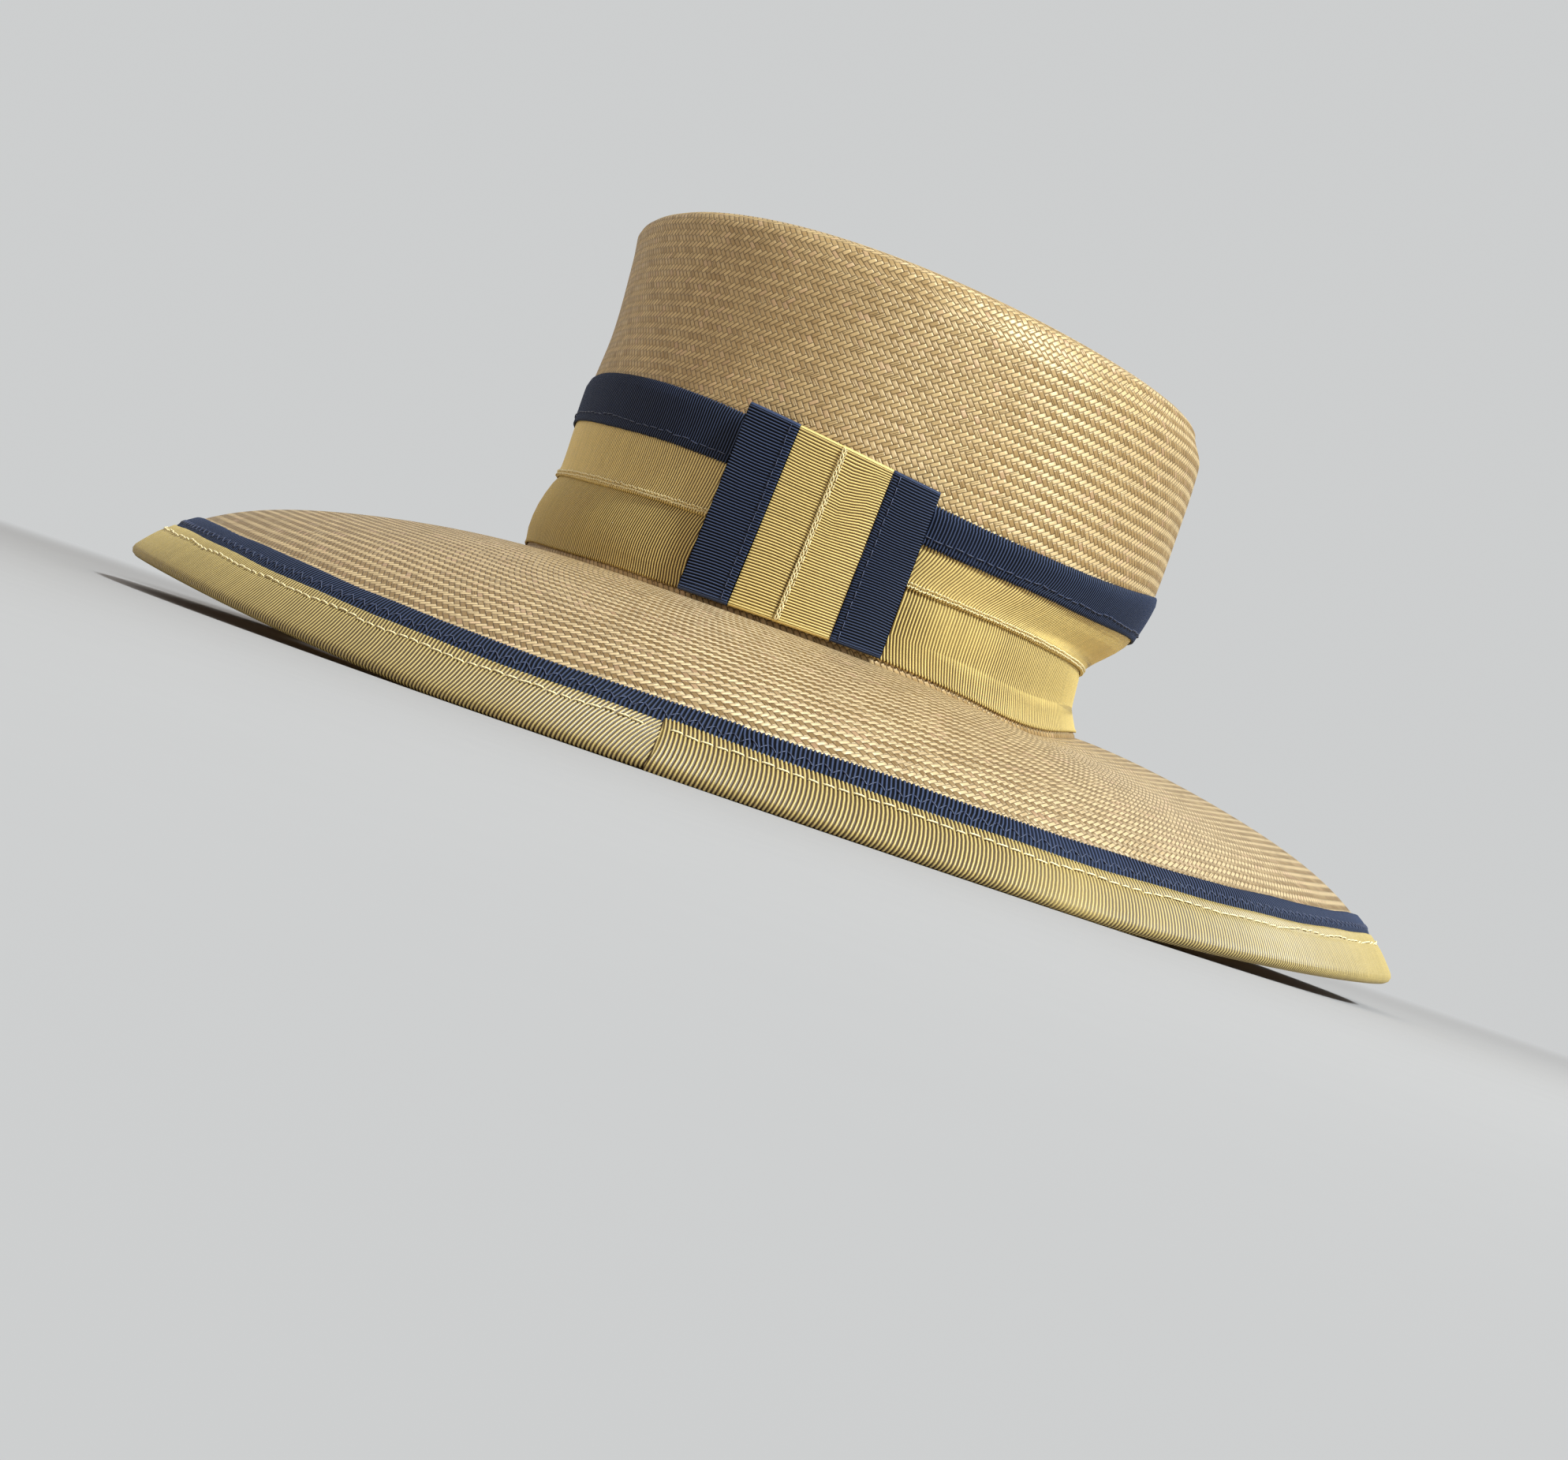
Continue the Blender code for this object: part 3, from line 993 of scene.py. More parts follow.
def make_brim():
    cols = 400
    theta, _, inner_length = ring_walk(lambda a: brim_point(a, 0.0), BACK, 1.0)
    theta, _, _ = ring_walk(lambda a: brim_point(a, 0.5), BACK, 1.0)
    shares = np.linspace(0, 1, cols + 1)
    angle = np.interp(shares, np.linspace(0, 1, len(theta)), theta)
    rows = round(float(brim_walk.length.mean()) / HALF_ROW)
    start = round(inner_length / BRIM_PITCH)
    at = angle[:-1]
    top, under, counts = [], [], []
    for r in range(rows + 1):
        # Row 0 is at the edge; the last is at the crown.
        share = 1 - brim_walk.at_share(at, r / rows)
        here, _, normal = brim_frame(at, share)
        # A few slow dents, and the small unevenness of pressed straw.
        slow = waves(at * 150, (0.4, 2.0), (190.0, 74.0), (0.25, 0.12))
        here = here + normal * (slow * math.sin(math.pi * r / rows))[:, None]
        top.append(here + normal * STRAW / 2)
        under.append(here - normal * STRAW / 2)
        if r:
            mid = 1 - brim_walk.at_share(angle, (r - 0.5) / rows)
            ring = np.diff(brim_point(angle, mid), axis=0)
            counts.append(max(start, round(np.linalg.norm(ring, axis=1).sum() / BRIM_PITCH)))
    # The inner end turns in under the crown's foot.
    tuck = crown_point(0.0, at, -STRAW - 0.9)
    top.append(tuck + np.array((0, 0, STRAW / 2)))
    under.append(tuck - np.array((0, 0, STRAW / 2)))
    counts.append(start)
    cells, added = counted(shares, start, counts, 1)
    heights = np.arange(rows + 2, dtype=float)
    return lattice(
        "brim_straw",
        (np.array(top), np.array(under)),
        shares,
        cells,
        added,
        heights,
        [brim_straw, inner_straw],
        node="brim",
        slot="straw",
    )


# ------------------------------------------------------------ ribbons
# One rib is three columns of points: a valley and two on its crest.
RELIEF = np.array((-0.24, 0.10, 0.10))
SCALLOP = np.array((0.55, -0.12, -0.12))


def ribs(count, values, wobble=None):
    made_of = np.tile(values, count // 3 + 1)[:count]
    return made_of if wobble is None else made_of * wobble


def ring_ribbon(name, surface, theta, rib_count, rows, wrap, look, node, slot, deep=1.0):
    """A closed ribbed ribbon round the hat.

    rows: (distance across as a function of the columns, height off the surface,
    share of the relief, share of the scallop and its direction), front first,
    then the back.
    """
    cols = len(theta) - 1 if wrap else len(theta)
    angle = theta[:cols]
    relief, scallop = ribs(cols, RELIEF) * deep, ribs(cols, SCALLOP) * deep
    uneven = 1 + 0.25 * np.repeat(dice.normal(size=cols // 3 + 1), 3)[:cols]
    points, across = [], []
    for distance, stand, relief_share, scallop_share, shift in rows:
        d = distance + scallop * scallop_share * uneven
        points.append(surface(angle + shift, d, stand + relief * relief_share))
        across.append(d)
    points = np.array(points)
    n = len(rows)
    quads = grid_quads(n, cols, wrap, wrap_rows=True)
    u = np.arange(cols + (1 if wrap else 0)) / 3.0
    walked = np.concatenate(
        (
            np.zeros((1,)),
            np.cumsum(
                np.linalg.norm(
                    np.diff(np.concatenate((points, points[:1])), axis=0), axis=-1
                ).mean(1)
            ),
        )
    )
    coords = grid_coords(
        np.repeat(u[None], n + 1, 0), np.repeat(walked[:, None], len(u), 1)
    )
    tris = None
    if not wrap:
        middles = points.mean(0)[[0, -1]]
        total = points.size // 3
        ends = []
        for col, middle, flip in ((0, total, False), (cols - 1, total + 1, True)):
            r = np.arange(n)
            a, b = r * cols + col, ((r + 1) % n) * cols + col
            ends.append(
                np.stack((b, a, np.full(n, middle)) if flip else (a, b, np.full(n, middle)), 1)
            )
        tris = np.concatenate(ends)
        # Quads run (row, col), (row, col + 1), ..., so the caps turn the other way.
        points = np.concatenate((points.reshape(-1, 3), middles))
    return mesh_object(
        name, points, quads, coords, [look], tris=tris, node=node, slot=slot
    )


def on_crown(angle, distance, stand):
    level = crown_walk.at(angle, distance)
    return crown_face(level, angle, stand)


def crown_mark(level):
    return lambda angle: crown_walk.distance(angle, level)


def make_band():
    """Three ribbons, each lapping over the one below it."""
    ribbons = (
        # name, node, look, slot, low level, below it, high level, above it, stand low, high
        ("band_yellow_lower_ribbon", "band_yellow_lower", low_yellow, "yellow_ribbon",
         0.20, 0.0, 2.0, 1.0, 0.85, 0.62),
        ("band_yellow_upper_ribbon", "band_yellow_upper", yellow, "yellow_ribbon",
         2.0, -0.4, 3.0, 1.0, 1.35, 0.66),
        ("band_navy_ribbon", "band_navy", navy, "navy_ribbon",
         3.0, -0.3, 4.0, 0.0, 1.45, 1.20),
    )
    for (name, node, look, slot, low_level, below, high_level, above,
         stand_low, stand_high) in ribbons:
        middle = (low_level + high_level) / 2
        theta, count, length = ring_walk(
            lambda a: crown_face(middle, a, np.full(a.shape, 0.9)), BACK, RIB, 3
        )
        angle = theta[:-1]
        slow = waves(angle * 95, (0.3, 1.9), (61.0, 150.0), (0.14, 0.2))
        low = crown_mark(low_level)(angle) + below + slow
        high = crown_mark(high_level)(angle) + above + slow * 0.6
        wide = high - low
        # The lowest ribbon is stretched straight over the crown's hollow.
        bridge = 1.5 if name == "band_yellow_lower_ribbon" else 0.0
        lean = waves(angle * 95, (1.1, 4.0, 2.2), (83.0, 37.0, 190.0), (0.7, 0.3, 0.9)) / 95
        arch = waves(angle * 95, (0.7, 2.6), (120.0, 47.0), (0.5, 0.25)) / 95
        rows = []
        front = [(0.0, 0.0, "lip")] + [(0.0, 0.30, "")] + [(0.0, 1.1, "")]
        front += [(t, 0.0, "") for t in (0.2, 0.36, 0.52, 0.68, 0.84)]
        front += [(1.0, -1.1, ""), (1.0, -0.30, ""), (1.0, 0.0, "lip")]
        drawn = 0.5 if name == "band_navy_ribbon" else 0.0
        for t, off, kind in front:
            stand = stand_low + (stand_high - stand_low) * t + bridge * 4 * t * (1 - t)
            if t == 1.0:
                stand = stand - drawn * (1 + off / 2.0)
            # A free edge lifts a little.
            if name != "band_navy_ribbon" or t < 0.5:
                stand = stand + 0.12 * np.exp(-((t * wide + off) / 1.5))
            shift = lean * (t - 0.5) + arch * (4 * t * (1 - t))
            if kind:
                way = 1.0 if t < 0.5 else -1.0
                rows.append((low + wide * t + off, stand - 0.26, 0.3, way, shift))
            else:
                rows.append((low + wide * t + off, stand, 1.0, 0.0, shift))
        for t, off in ((1.0, -0.3), (0.5, 0.0), (0.0, 0.3)):
            stand = stand_low + (stand_high - stand_low) * t + bridge * 4 * t * (1 - t)
            stand = stand - RIBBON - (drawn if t == 1.0 else 0.0)
            shift = lean * (t - 0.5) + arch * (4 * t * (1 - t))
            rows.append((low + wide * t + off, stand, 0.0, 0.0, shift))
        piece = ring_ribbon(
            name, on_crown, theta, count, rows, True, look, node, slot
        )


def section(angle, distance, stand):
    """The brim's edge in section: distance runs from inset COVER on top, round to
    the same underneath, with stand off the brim's middle face."""
    angle, distance, stand = np.broadcast_arrays(
        np.asarray(angle, float), np.asarray(distance, float), np.asarray(stand, float)
    )
    bend = math.pi * EDGE_RADIUS
    on_top = distance < COVER
    under = distance > COVER + bend
    inset = np.where(
        on_top, COVER - distance, np.where(under, distance - COVER - bend, 0.0)
    )
    turn = np.clip((distance - COVER) / bend, 0, 1) * math.pi
    here, out, normal = brim_frame(angle, 1 - brim_walk.at(angle, inset))
    way = normal * np.cos(turn)[..., None] + out * np.sin(turn)[..., None]
    p = here + way * stand[..., None]
    p[..., 2] = np.maximum(p[..., 2], 0.02)
    return p


BEND = math.pi * EDGE_RADIUS
BINDING_WIDE = 2 * COVER + BEND


def seam_away(angle):
    """Distance in mm past the binding's seam, and short of it, along the edge."""
    past = (angle - BINDING_SEAM) * 198.0
    left = (BINDING_SEAM + TAU - angle) * 198.0
    return past, left


def binding_lean(angle, across):
    """How far the ribs lean along the edge, in mm."""
    _, left = seam_away(angle)
    top = np.clip(1 - across / (COVER + 3.0), 0, 1)
    gather = 7.0 * np.exp(-((np.maximum(left, 0) / 36.0) ** 1.3)) * top**1.8
    gather = np.where(left < 0, 7.0 * top**1.8, gather)
    slow = waves(angle * 198, (0.2, 1.4, 3.3), (140.0, 61.0, 23.0), (0.8, 0.4, 0.12))
    side = top - 0.4
    return gather + slow * side + 1.4 * top * (1 - top) * 4 * np.clip(left / 60.0, 0, 1)


def binding_lift(angle):
    """The folded start lies over the ribbon's other end."""
    past, left = seam_away(angle)
    over = 0.75 * np.exp(-((np.maximum(past, 0) / 26.0) ** 2))
    under = -0.18 * np.exp(-((left / 9.0) ** 2))
    return over + under


def make_binding():
    theta, count, length = ring_walk(
        lambda a: section(a, np.full(a.shape, COVER + BEND / 2), 1.9),
        BINDING_SEAM,
        EDGE_RIB,
        3,
    )
    # Past the full turn the end goes on under the folded start.
    step = theta[1] - theta[0]
    extra = theta[1:16] + TAU
    theta = np.concatenate((theta, extra))
    cols = len(theta)
    past = np.arange(cols) / 3.0 * EDGE_RIB
    end_under = np.clip((theta - (BINDING_SEAM + TAU) + 0.02) / 0.02, 0, 1)
    lift = binding_lift(theta) - 0.30 * end_under
    slow = waves(theta * 198, (0.5, 2.2), (47.0, 130.0), (0.15, 0.2))
    rows = []
    fronts = (0.0, 0.3, 1.4, 2.5, 3.1, 3.7, 5.4, 7.8, 10.3, COVER)
    fronts += tuple(COVER + BEND * k / 5 for k in range(1, 5))
    fronts += tuple(COVER + BEND + x for x in (0.0, 5.0, 9.4, 12.2, 12.5))
    for across in fronts:
        shift = binding_lean(theta, across) / 198.0
        edge_in = min(across, BINDING_WIDE - across)
        stand = 1.88 - 0.42 * math.exp(-((edge_in / 3.0) ** 2)) + lift
        # The sewing pulls a line into it.
        stand = stand - 0.22 * math.exp(-(((edge_in - 3.1) / 0.5) ** 2))
        lip = across in (fronts[0], fronts[-1])
        way = (1.0 if across < COVER else -1.0) if lip else 0.0
        rows.append(
            (
                across + slow * math.exp(-across / 4.0),
                stand - (0.25 if lip else 0.0),
                0.3 if lip else 1.0,
                way,
                shift,
            )
        )
    for across in (BINDING_WIDE - 0.3, COVER + BEND, COVER + BEND * 0.5, COVER, 0.3):
        shift = binding_lean(theta, across) / 198.0
        edge_in = min(across, BINDING_WIDE - across)
        stand = 1.88 - 0.42 * math.exp(-((edge_in / 3.0) ** 2)) + lift - RIBBON
        rows.append((across + slow * math.exp(-across / 4.0), stand, 0.0, 0.0, shift))
    # The folded end rolls under.
    roll = 0.7 * np.exp(-((past / 0.45) ** 2))
    rows = [
        (d, s - roll * (0.8 if k < len(fronts) else -0.1), r, w, sh)
        for k, (d, s, r, w, sh) in enumerate(rows)
    ]
    piece = ring_ribbon(
        "brim_binding_ribbon",
        section,
        theta,
        count,
        rows,
        False,
        edge_yellow,
        "brim_binding",
        "yellow_ribbon",
        deep=1.35,
    )


def make_stripes():
    for name, node, side in (
        ("brim_stripe_top_ribbon", "brim_stripe_top", 1.0),
        ("brim_stripe_under_ribbon", "brim_stripe_under", -1.0),
    ):
        def surface(angle, inset, stand, side=side):
            return brim_at(angle, inset, stand * side)

        theta, count, length = ring_walk(
            lambda a: brim_point(a, 0.87), math.radians(-94.0), EDGE_RIB, 3
        )
        angle = theta[:-1]
        slow = waves(angle * 185, (0.9, 2.0), (70.0, 33.0), (0.22, 0.1))
        low = COVER + STRIPE_GAP - STRIPE_TUCK + slow * 0
        high = COVER + STRIPE_GAP + STRIPE + slow
        wide = high - low
        lean = waves(angle * 185, (0.1, 1.0, 2.3), (90.0, 41.0, 17.0), (0.8, 0.4, 0.2)) / 185
        rows = []
        fronts = (
            # share across, offset, stand
            (0.0, 0.0, 1.02, "lip"),
            (0.0, 0.5, 1.08, ""),
            (0.0, 3.6, 1.18, ""),
            (0.0, 5.2, 1.50, ""),
            (0.72, 0.0, 1.55, ""),
            (1.0, -1.3, 1.46, ""),
            (1.0, -0.35, 1.36, ""),
            (1.0, 0.0, 1.12, "lip"),
        )
        for t, off, stand, kind in fronts:
            where = low + wide * t + off
            shift = lean * (t - 0.5)
            if kind:
                rows.append((where, stand, 0.3, -1.0 if t > 0.5 else 0.3, shift))
            else:
                rows.append((where, stand, 1.0 if t or off > 4 else 0.3, 0.0, shift))
        for t, off, stand in ((1.0, -0.4, 0.86), (0.6, 0.0, 0.95), (0.0, 0.5, 0.72)):
            rows.append((low + wide * t + off, stand, 0.0, 0.0, lean * (t - 0.5)))
        piece = ring_ribbon(
            name, surface, theta, count, rows, True, navy, node, "navy_ribbon", deep=1.25
        )


# ------------------------------------------------------------ bow panel
def panel_surface(top, foot, y, out):
    """Points of the panel: y is 0 at its top and 1 at its foot, out mm off its face."""
    top, foot, y, out = np.broadcast_arrays(
        *(np.asarray(v, float) for v in (top, foot, y, out))
    )
    high = crown_face(PANEL_TOP, top, np.full(top.shape, PANEL_STAND))
    low = crown_face(PANEL_FOOT, foot, np.full(top.shape, PANEL_STAND))
    d = 0.01
    high2 = crown_face(PANEL_TOP, top + d, np.full(top.shape, PANEL_STAND))
    low2 = crown_face(PANEL_FOOT, foot + d, np.full(top.shape, PANEL_STAND))
    p = high + (low - high) * y[..., None]
    q = high2 + (low2 - high2) * y[..., None]
    n = unit(np.cross(q - p, high - low))
    # The panel sags a little between its ends.
    sag = 0.45 * np.sin(math.pi * np.clip(y, 0, 1))
    return p + n * (out - sag)[..., None]


PANEL_HIGH = 57.0


def make_panel():
    strips = (
        # name, node, look, slot, first edge, last edge, grow left, grow right, out
        ("bow_navy_left_ribbon", "bow_navy_left", panel_navy, "navy_ribbon", 0, 1, 0.0, 0.0, 0.42),
        ("bow_yellow_left_ribbon", "bow_yellow_left", yellow, "yellow_ribbon",
         1, 2, 1.6, 1.4, -0.16),
        ("bow_yellow_right_ribbon", "bow_yellow_right", yellow, "yellow_ribbon",
         2, 3, 0.0, 1.6, 0.10),
        ("bow_navy_right_ribbon", "bow_navy_right", navy, "navy_ribbon", 3, 4, 0.0, 0.0, 0.46),
    )
    for name, node, look, slot, first, last, grow_left, grow_right, out in strips:
        tops = np.radians((PANEL_EDGES[first][1], PANEL_EDGES[last][1]))
        feet = np.radians((PANEL_EDGES[first][2], PANEL_EDGES[last][2]))
        wide = (tops[1] - tops[0] + feet[1] - feet[0]) / 2 * 104.0
        xs = np.array([0.0, 0.35, 1.1])
        inner = np.linspace(2.4, wide + grow_left + grow_right - 2.4, 5)
        whole = wide + grow_left + grow_right
        xs = np.concatenate((xs, inner, whole - xs[::-1]))
        cols = len(xs)
        count = round(PANEL_HIGH / 0.90)
        thick = 1.5 if "navy" in name else 1.2
        if name == "bow_yellow_right_ribbon":
            thick = 1.4
        fold = thick / 2
        lines = []
        # Up the face from the foot's fold to the top's, then down behind.
        for k in range(5):
            turn = math.pi * (1 - k / 4.0)
            lines.append((1.0, math.sin(turn) * fold, fold + math.cos(turn) * fold, -1, k / 4.0))
        for k in range(1, count * 3):
            lines.append((1 - k / (count * 3.0), 0.0, 0.0, k, 1.0))
        for k in range(5):
            turn = math.pi * (k / 4.0)
            lines.append((0.0, -math.sin(turn) * fold, fold - math.cos(turn) * fold, -1, 1 - k / 4.0))
        for y in (0.3, 0.7):
            lines.append((y, 0.0, thick, -1, 0.0))
        points = np.zeros((len(lines), cols, 3))
        crest = {0: -0.20, 1: 0.08, 2: 0.08}
        edge_in = {0: 0.30, 1: -0.05, 2: -0.05}
        x_share = xs / whole
        wave = np.zeros(cols)
        for r, (y, down, back, k, front) in enumerate(lines):
            relief = crest[k % 3] if k >= 0 else 0.0
            x = xs.copy()
            pull = (edge_in[k % 3] if k >= 0 else 0.0) * (1 + 0.25 * dice.normal())
            x[0] += pull
            x[-1] -= pull
            share = (x - grow_left) / wide
            top = tops[0] + (tops[1] - tops[0]) * share
            foot = feet[0] + (feet[1] - feet[0]) * share
            mm_down = y * PANEL_HIGH
            bend = np.zeros(cols)
            if name == "bow_yellow_right_ribbon":
                hump = math.exp(-(((mm_down - 14.0) / 13.0) ** 2))
                bend = 1.3 * hump * np.sin(math.pi * (1.6 * x_share + 0.1))
            elif name == "bow_navy_right_ribbon":
                bend = 0.5 * math.sin(mm_down / 9.0) * np.sin(math.pi * x_share)
            else:
                bend = 0.35 * math.sin(mm_down / 11.0 + first) * np.sin(math.pi * x_share)
            fade = min(1.0, mm_down / 4.0, (PANEL_HIGH - mm_down) / 4.0)
            yy = y + (down + bend * max(fade, 0.0)) / PANEL_HIGH
            lip = np.zeros(cols)
            if front > 0.5:
                lip[[0, -1]] = -0.28
                lip[[1, -2]] = -0.02
            flat = np.where(np.arange(cols) % (cols - 1) == 0, 0.4, 1.0)
            # The straight line's ends are only out of the face at the folds.
            points[r] = panel_surface(top, foot, yy, out - back + relief * flat + lip)
        quads = grid_quads(len(lines), cols, False, wrap_rows=True)
        n_rows = len(lines)
        v_rib = []
        for r, (y, down, back, k, front) in enumerate(lines):
            v_rib.append(k / 3.0 if k >= 0 else (0.34 if r < 5 else count + 0.34))
        v_rib.append(0.34)
        v_rib = np.array(v_rib)
        coords = grid_coords(
            np.repeat(v_rib[:, None], cols, 1), np.repeat(xs[None], n_rows + 1, 0)
        )
        # Side caps between the face and the back.
        flat_points = points.reshape(-1, 3)
        total = len(flat_points)
        r = np.arange(n_rows)
        r2 = (r + 1) % n_rows
        caps, middles = [], []
        # The back's middle line is the caps' far side, so they fan from it.
        for col, flip in ((0, False), (cols - 1, True)):
            line = points[:, col]
            spine = total + len(middles)
            middles.append(line.mean(0))
            a, b = r * cols + col, r2 * cols + col
            caps.append(
                np.stack((a, b, np.full(n_rows, spine)) if not flip else (b, a, np.full(n_rows, spine)), 1)
            )
        points = np.concatenate((flat_points, np.array(middles)))
        piece = mesh_object(
            name, points, quads, coords, [look], tris=np.concatenate(caps),
            node=node, slot=slot,
        )
        whole * MM


# ------------------------------------------------------------ sewing
def running(surface, start, stop, across, stitch, gap, stand, thick, radius_mm, wander=0.0):
    """Running stitches: paths over a surface from start to stop, in radians."""
    pitch = stitch + gap
    length = (stop - start) * radius_mm
    count = int(length // pitch)
    at = start + (np.arange(count) + 0.5) / count * (stop - start)
    jitter = dice.normal(size=count) * 0.12
    slow = waves(at * radius_mm, (0.3, 1.2), (31.0, 83.0), (wander, wander * 0.6))
    t = np.array((-0.5, -0.42, -0.2, 0.2, 0.42, 0.5))
    lift = np.array((-0.30, 0.06, 0.16, 0.16, 0.06, -0.30))
    tilt = dice.normal(size=count) * 0.10
    long = stitch * (1 + 0.10 * dice.normal(size=count))
    angle = at[:, None] + t[None] * long[:, None] / radius_mm
    where = across + jitter[:, None] + slow[:, None] + tilt[:, None] * t[None] * 2
    return surface(angle, where, stand + lift[None] * thick / 0.16 * 0.5)


def make_stitches():
    # Along the binding's upper edge, and its mate underneath.
    def binding_top(angle, across, stand):
        return section(angle, across, stand + binding_lift(angle))

    paths = running(
        binding_top, BINDING_SEAM + 0.012, BINDING_SEAM + TAU - 0.02,
        3.1, 3.1, 0.8, 1.82, 0.42, 198.0, 0.25,
    )
    tubes("binding_stitches_top", paths, 0.21, yellow_thread, slot="yellow_ribbon")
    paths = running(
        binding_top, BINDING_SEAM + 0.012, BINDING_SEAM + TAU - 0.02,
        BINDING_WIDE - 3.1, 3.1, 0.8, 1.82, 0.42, 198.0, 0.25,
    )
    tubes("binding_stitches_under", paths, 0.21, yellow_thread, slot="yellow_ribbon")

    # Zigzag along the stripes.
    for name, side in (("stripe_stitches_top", 1.0), ("stripe_stitches_under", -1.0)):
        count = 520
        at = math.radians(-94.0) + (np.arange(count) + 0.5) / count * TAU
        t = np.linspace(-0.5, 0.5, 5)
        angle = at[:, None] + t[None] * (TAU / count) * 0.95
        way = np.where(np.arange(count) % 2 == 0, 1.0, -1.0)
        inset = COVER + STRIPE_GAP + 1.9 + way[:, None] * t[None] * 1.9
        inset = inset + dice.normal(size=count)[:, None] * 0.10
        lift = np.array((-0.1, 0.10, 0.14, 0.10, -0.1))
        paths = brim_at(angle, inset, side * (1.62 + lift[None] + 0 * angle))
        tubes(name, paths, 0.17, navy_thread, sides=4, slot="navy_ribbon")

    # Running stitch near the navy ribbon's lower edge.
    low = crown_mark(3.0)
    paths = running(
        lambda a, d, s: on_crown(a, low(a) + d, s),
        BACK, BACK + TAU, 2.3, 2.6, 0.8, 1.60, 0.34, 95.0, 0.15,
    )
    tubes("band_navy_stitches", paths, 0.17, navy_thread, sides=4, slot="navy_ribbon")

    # Two lines of small loops above the yellow ribbons' join.
    join = crown_mark(2.0)
    for name, above, seed in (("band_join_stitches_low", 0.60, 0.0), ("band_join_stitches_high", 1.20, 0.4)):
        count = 420
        at = BACK + (np.arange(count) + seed) / count * TAU
        t = np.array((-0.5, -0.3, 0.0, 0.3, 0.5))
        angle = at[:, None] + t[None] * (TAU / count) * 0.86
        arc = np.array((-0.22, 0.16, 0.34, 0.16, -0.22)) * (1 if seed else -1)
        lift = np.array((-0.10, 0.26, 0.36, 0.26, -0.10))
        where = above + arc[None] + dice.normal(size=count)[:, None] * 0.08
        paths = on_crown(angle, join(angle) + where, 1.50 + lift[None] + 0 * angle)
        tubes(name, paths, 0.20, yellow_thread, sides=4, slot="yellow_ribbon")

    # Down the bow panel.
    def panel_line(edge, off, out, look, name, stitch, gap, loops):
        count = int(PANEL_HIGH // (stitch + gap))
        at = (np.arange(count) + 0.5) / count
        t = np.array((-0.5, -0.42, -0.2, 0.2, 0.42, 0.5))
        y = at[:, None] + t[None] * stitch / PANEL_HIGH
        lift = np.array((-0.25, 0.05, 0.12, 0.12, 0.05, -0.25))
        side = off + dice.normal(size=count)[:, None] * 0.08
        if loops:
            side = side + np.array((-0.1, 0.15, 0.3, 0.3, 0.15, -0.1))[None] * loops
        else:
            side = side + (np.arange(count) % 2)[:, None] * 0.12 * t[None]
        top = math.radians(PANEL_EDGES[edge][1]) + side / 104.0
        foot = math.radians(PANEL_EDGES[edge][2]) + side / 104.0
        paths = panel_surface(top, foot, y, out + lift[None] + 0 * y)
        tubes(name, paths, 0.17, look, sides=4)

    panel_line(1, -2.5, 0.56, navy_thread, "bow_navy_left_stitches", 2.6, 0.8, 0)
    panel_line(3, 2.5, 0.60, navy_thread, "bow_navy_right_stitches", 2.6, 0.8, 0)
    panel_line(2, 2.1, 0.42, yellow_thread, "bow_middle_stitches", 2.2, 0.5, 0)

    # A chain of small loops beside it.
    count = 30
    at = (np.arange(count) + 0.5) / count
    turn = np.linspace(0.15, TAU - 0.15, 11)
    y = at[:, None] + np.cos(turn)[None] * 0.95 / PANEL_HIGH
    side = 1.15 + np.sin(turn)[None] * 0.42 + dice.normal(size=count)[:, None] * 0.06
    lift = 0.54 - 0.10 * np.cos(turn)[None] + 0 * y
    top = math.radians(PANEL_EDGES[2][1]) + side / 104.0
    foot = math.radians(PANEL_EDGES[2][2]) + side / 104.0
    paths = panel_surface(top, foot, y, lift)
    tubes("bow_middle_chain", paths, 0.18, yellow_thread, sides=5, slot="yellow_ribbon")


make_crown()
make_brim()
make_band()
make_binding()
make_stripes()
make_panel()
make_stitches()

# ------------------------------------------------------------ stage
BACKDROP = (0.61, 0.62, 0.622)
scene = bpy.context.scene
scene.view_settings.view_transform = "Standard"

world = bpy.data.worlds.new("studio")
scene.world = world
world.use_nodes = True
world.node_tree.nodes["Background"].inputs[0].default_value = (*BACKDROP, 1)
world.node_tree.nodes["Background"].inputs[1].default_value = 1.0

bpy.ops.mesh.primitive_circle_add(vertices=96, radius=3.0, fill_type="NGON")
floor = bpy.context.object
floor.name = "floor"
look, shader = start_material("floor", (0.8, 0.8, 0.8))
coord = Field.node("ShaderNodeTexCoord")
place = Field(coord.outputs["Object"])
far = Field.node("ShaderNodeVectorMath", operation="LENGTH")
Field.link(place, far.inputs[0])
away = Field(far.outputs["Value"])
fade = smooth(away, 0.30, 0.95)
# A faint glow where the hat hides the floor lets its inside be seen from below.
fade = Field.math("MAXIMUM", fade, smooth(away, 0.08, 0.15, 0.8, 0.0))
grain = noise(place, 60.0, 4.0, 0.6) - 0.5
Field.link(
    scaled(vector(0.359, 0.332, 0.310), 1.0 + grain * 0.06), shader.inputs["Base Color"]
)
shader.inputs["Roughness"].default_value = 0.9
shader.inputs["Specular IOR Level"].default_value = 0.1
glow = Field.node("ShaderNodeEmission")
glow.inputs["Color"].default_value = (*BACKDROP, 1)
one = Field.node("ShaderNodeMixShader")
Field.link(fade, one.inputs[0])
Field.tree.links.new(shader.outputs[0], one.inputs[1])
Field.tree.links.new(glow.outputs[0], one.inputs[2])
clear = Field.node("ShaderNodeBsdfTransparent")
two = Field.node("ShaderNodeMixShader")
face = Field.node("ShaderNodeNewGeometry")
Field.tree.links.new(face.outputs["Backfacing"], two.inputs[0])
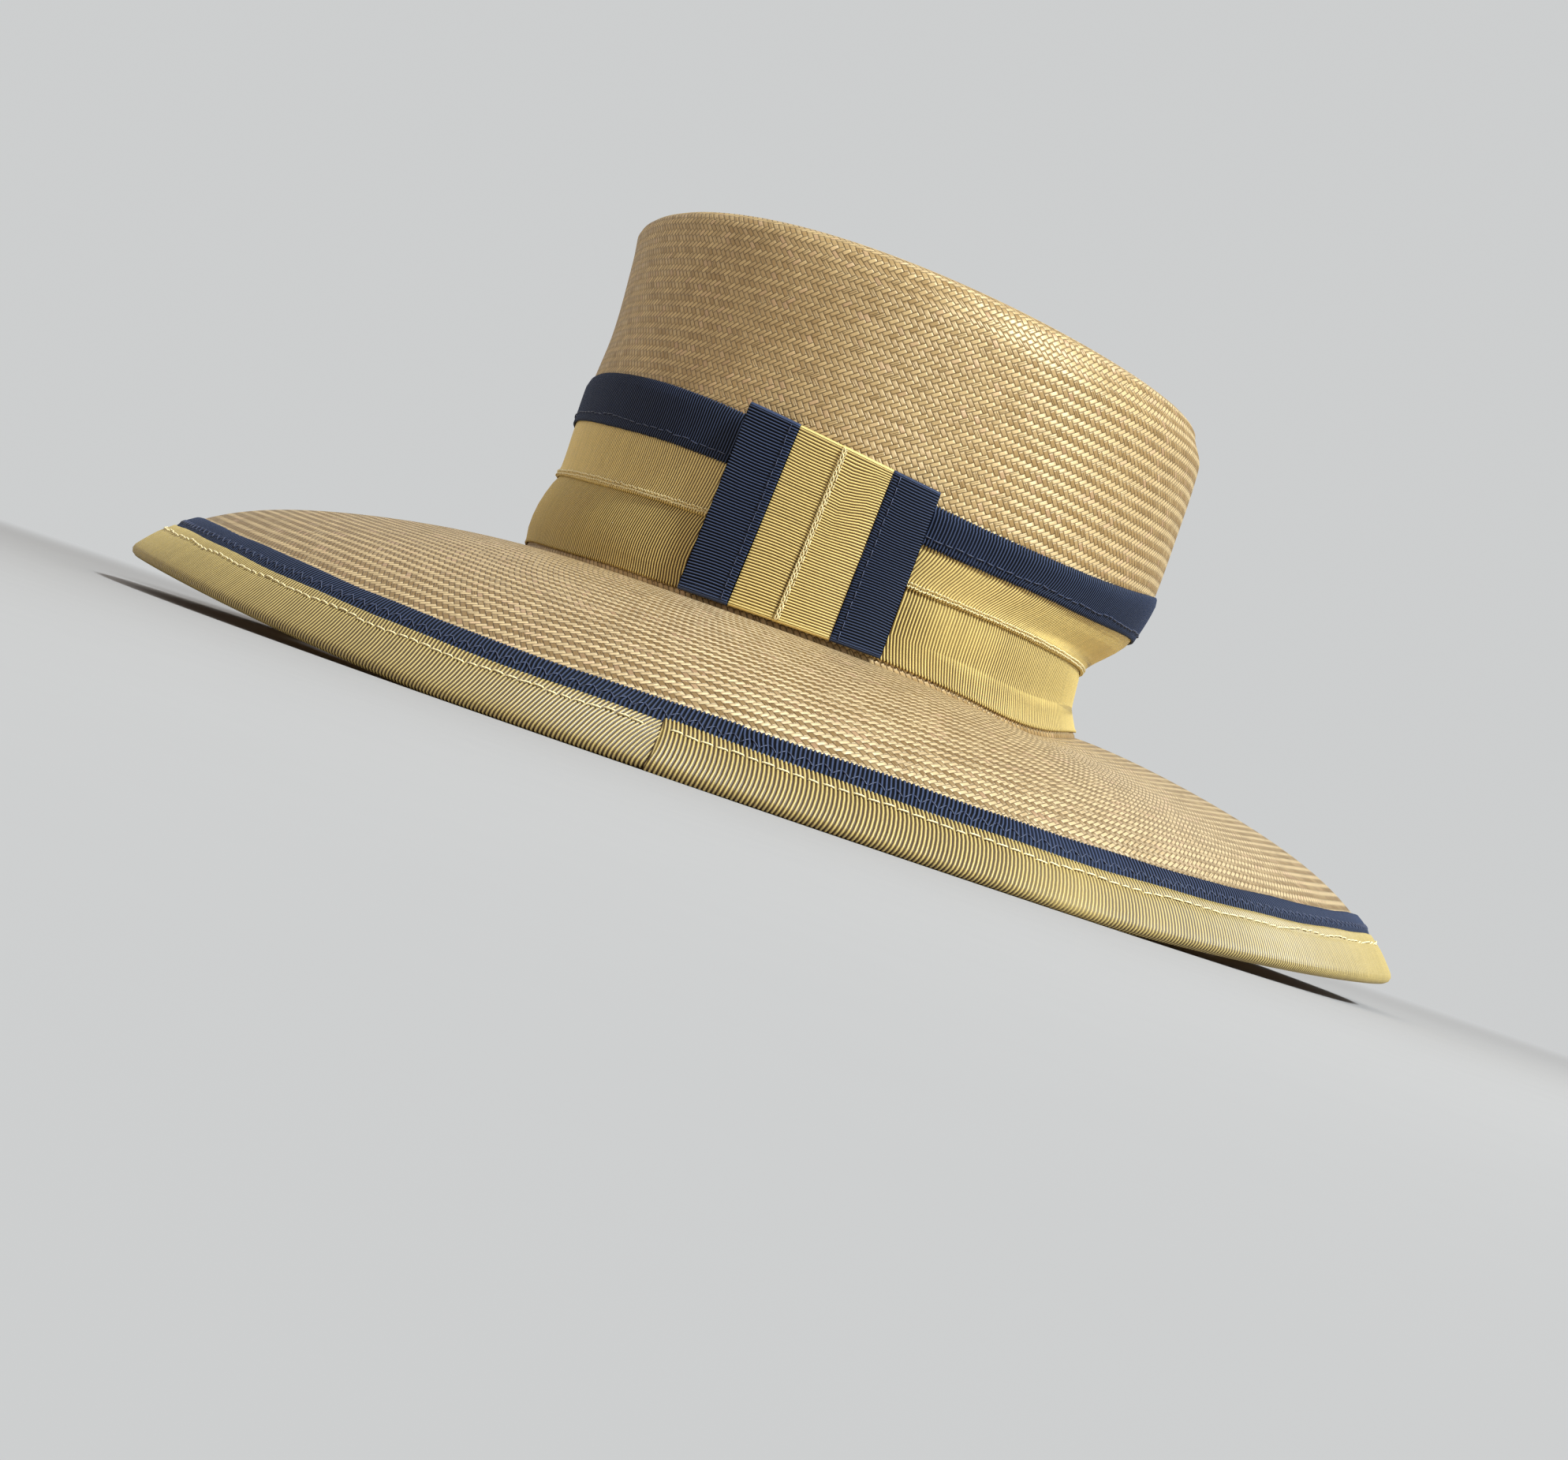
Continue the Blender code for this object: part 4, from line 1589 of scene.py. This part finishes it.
Field.tree.links.new(one.outputs[0], two.inputs[1])
Field.tree.links.new(clear.outputs[0], two.inputs[2])
Field.tree.links.new(two.outputs[0], Field.tree.nodes["Material Output"].inputs[0])
floor.data.materials.append(look)

# ------------------------------------------------------------ camera
FOCAL, SENSOR = 3806.2, 1988.0
CAMERA_AT = np.array((-29.3, -899.5, 12.0))
YAW, PITCH, ROLL = 0.0356, 0.0108, 0.3297
forward = np.array(
    (
        math.sin(YAW) * math.cos(PITCH),
        math.cos(YAW) * math.cos(PITCH),
        math.sin(PITCH),
    )
)
right = np.array((math.cos(YAW), -math.sin(YAW), 0.0))
up = np.cross(right, forward)
right2 = math.cos(ROLL) * right + math.sin(ROLL) * up
up2 = -math.sin(ROLL) * right + math.cos(ROLL) * up
camera = bpy.data.objects.new("camera", bpy.data.cameras.new("camera"))
scene.collection.objects.link(camera)
camera.data.sensor_fit = "HORIZONTAL"
camera.data.sensor_width = 36.0
camera.data.lens = FOCAL * 36.0 / SENSOR
camera.data.clip_start = 0.02
camera.data.clip_end = 50.0
turn = np.eye(4)
turn[:3, 0], turn[:3, 1], turn[:3, 2] = right2, up2, -forward
turn[:3, 3] = CAMERA_AT * MM
camera.matrix_world = Matrix(turn.tolist())
scene.camera = camera


# ------------------------------------------------------------ lights
def area_light(name, way, away, size, power, colour):
    data = bpy.data.lights.new(name, "AREA")
    data.shape = "DISK"
    data.size = size
    data.energy = power
    data.color = colour
    lamp = bpy.data.objects.new(name, data)
    scene.collection.objects.link(lamp)
    way = unit(np.asarray(way, float))
    aim = np.array((0.0, 0.0, 0.07))
    z = way
    x = unit(np.cross((0.0, 0.0, 1.0), z))
    y = np.cross(z, x)
    put = np.eye(4)
    put[:3, 0], put[:3, 1], put[:3, 2] = x, y, z
    put[:3, 3] = aim + way * away
    lamp.matrix_world = Matrix(put.tolist())
    return lamp


area_light("key", (0.47, -0.54, 0.67), 2.2, 0.4, 72.0, (0.88, 1.0, 1.10))
area_light("fill", (-0.80, -0.55, 0.20), 2.2, 1.2, 2.0, (1.0, 0.45, 0.1))
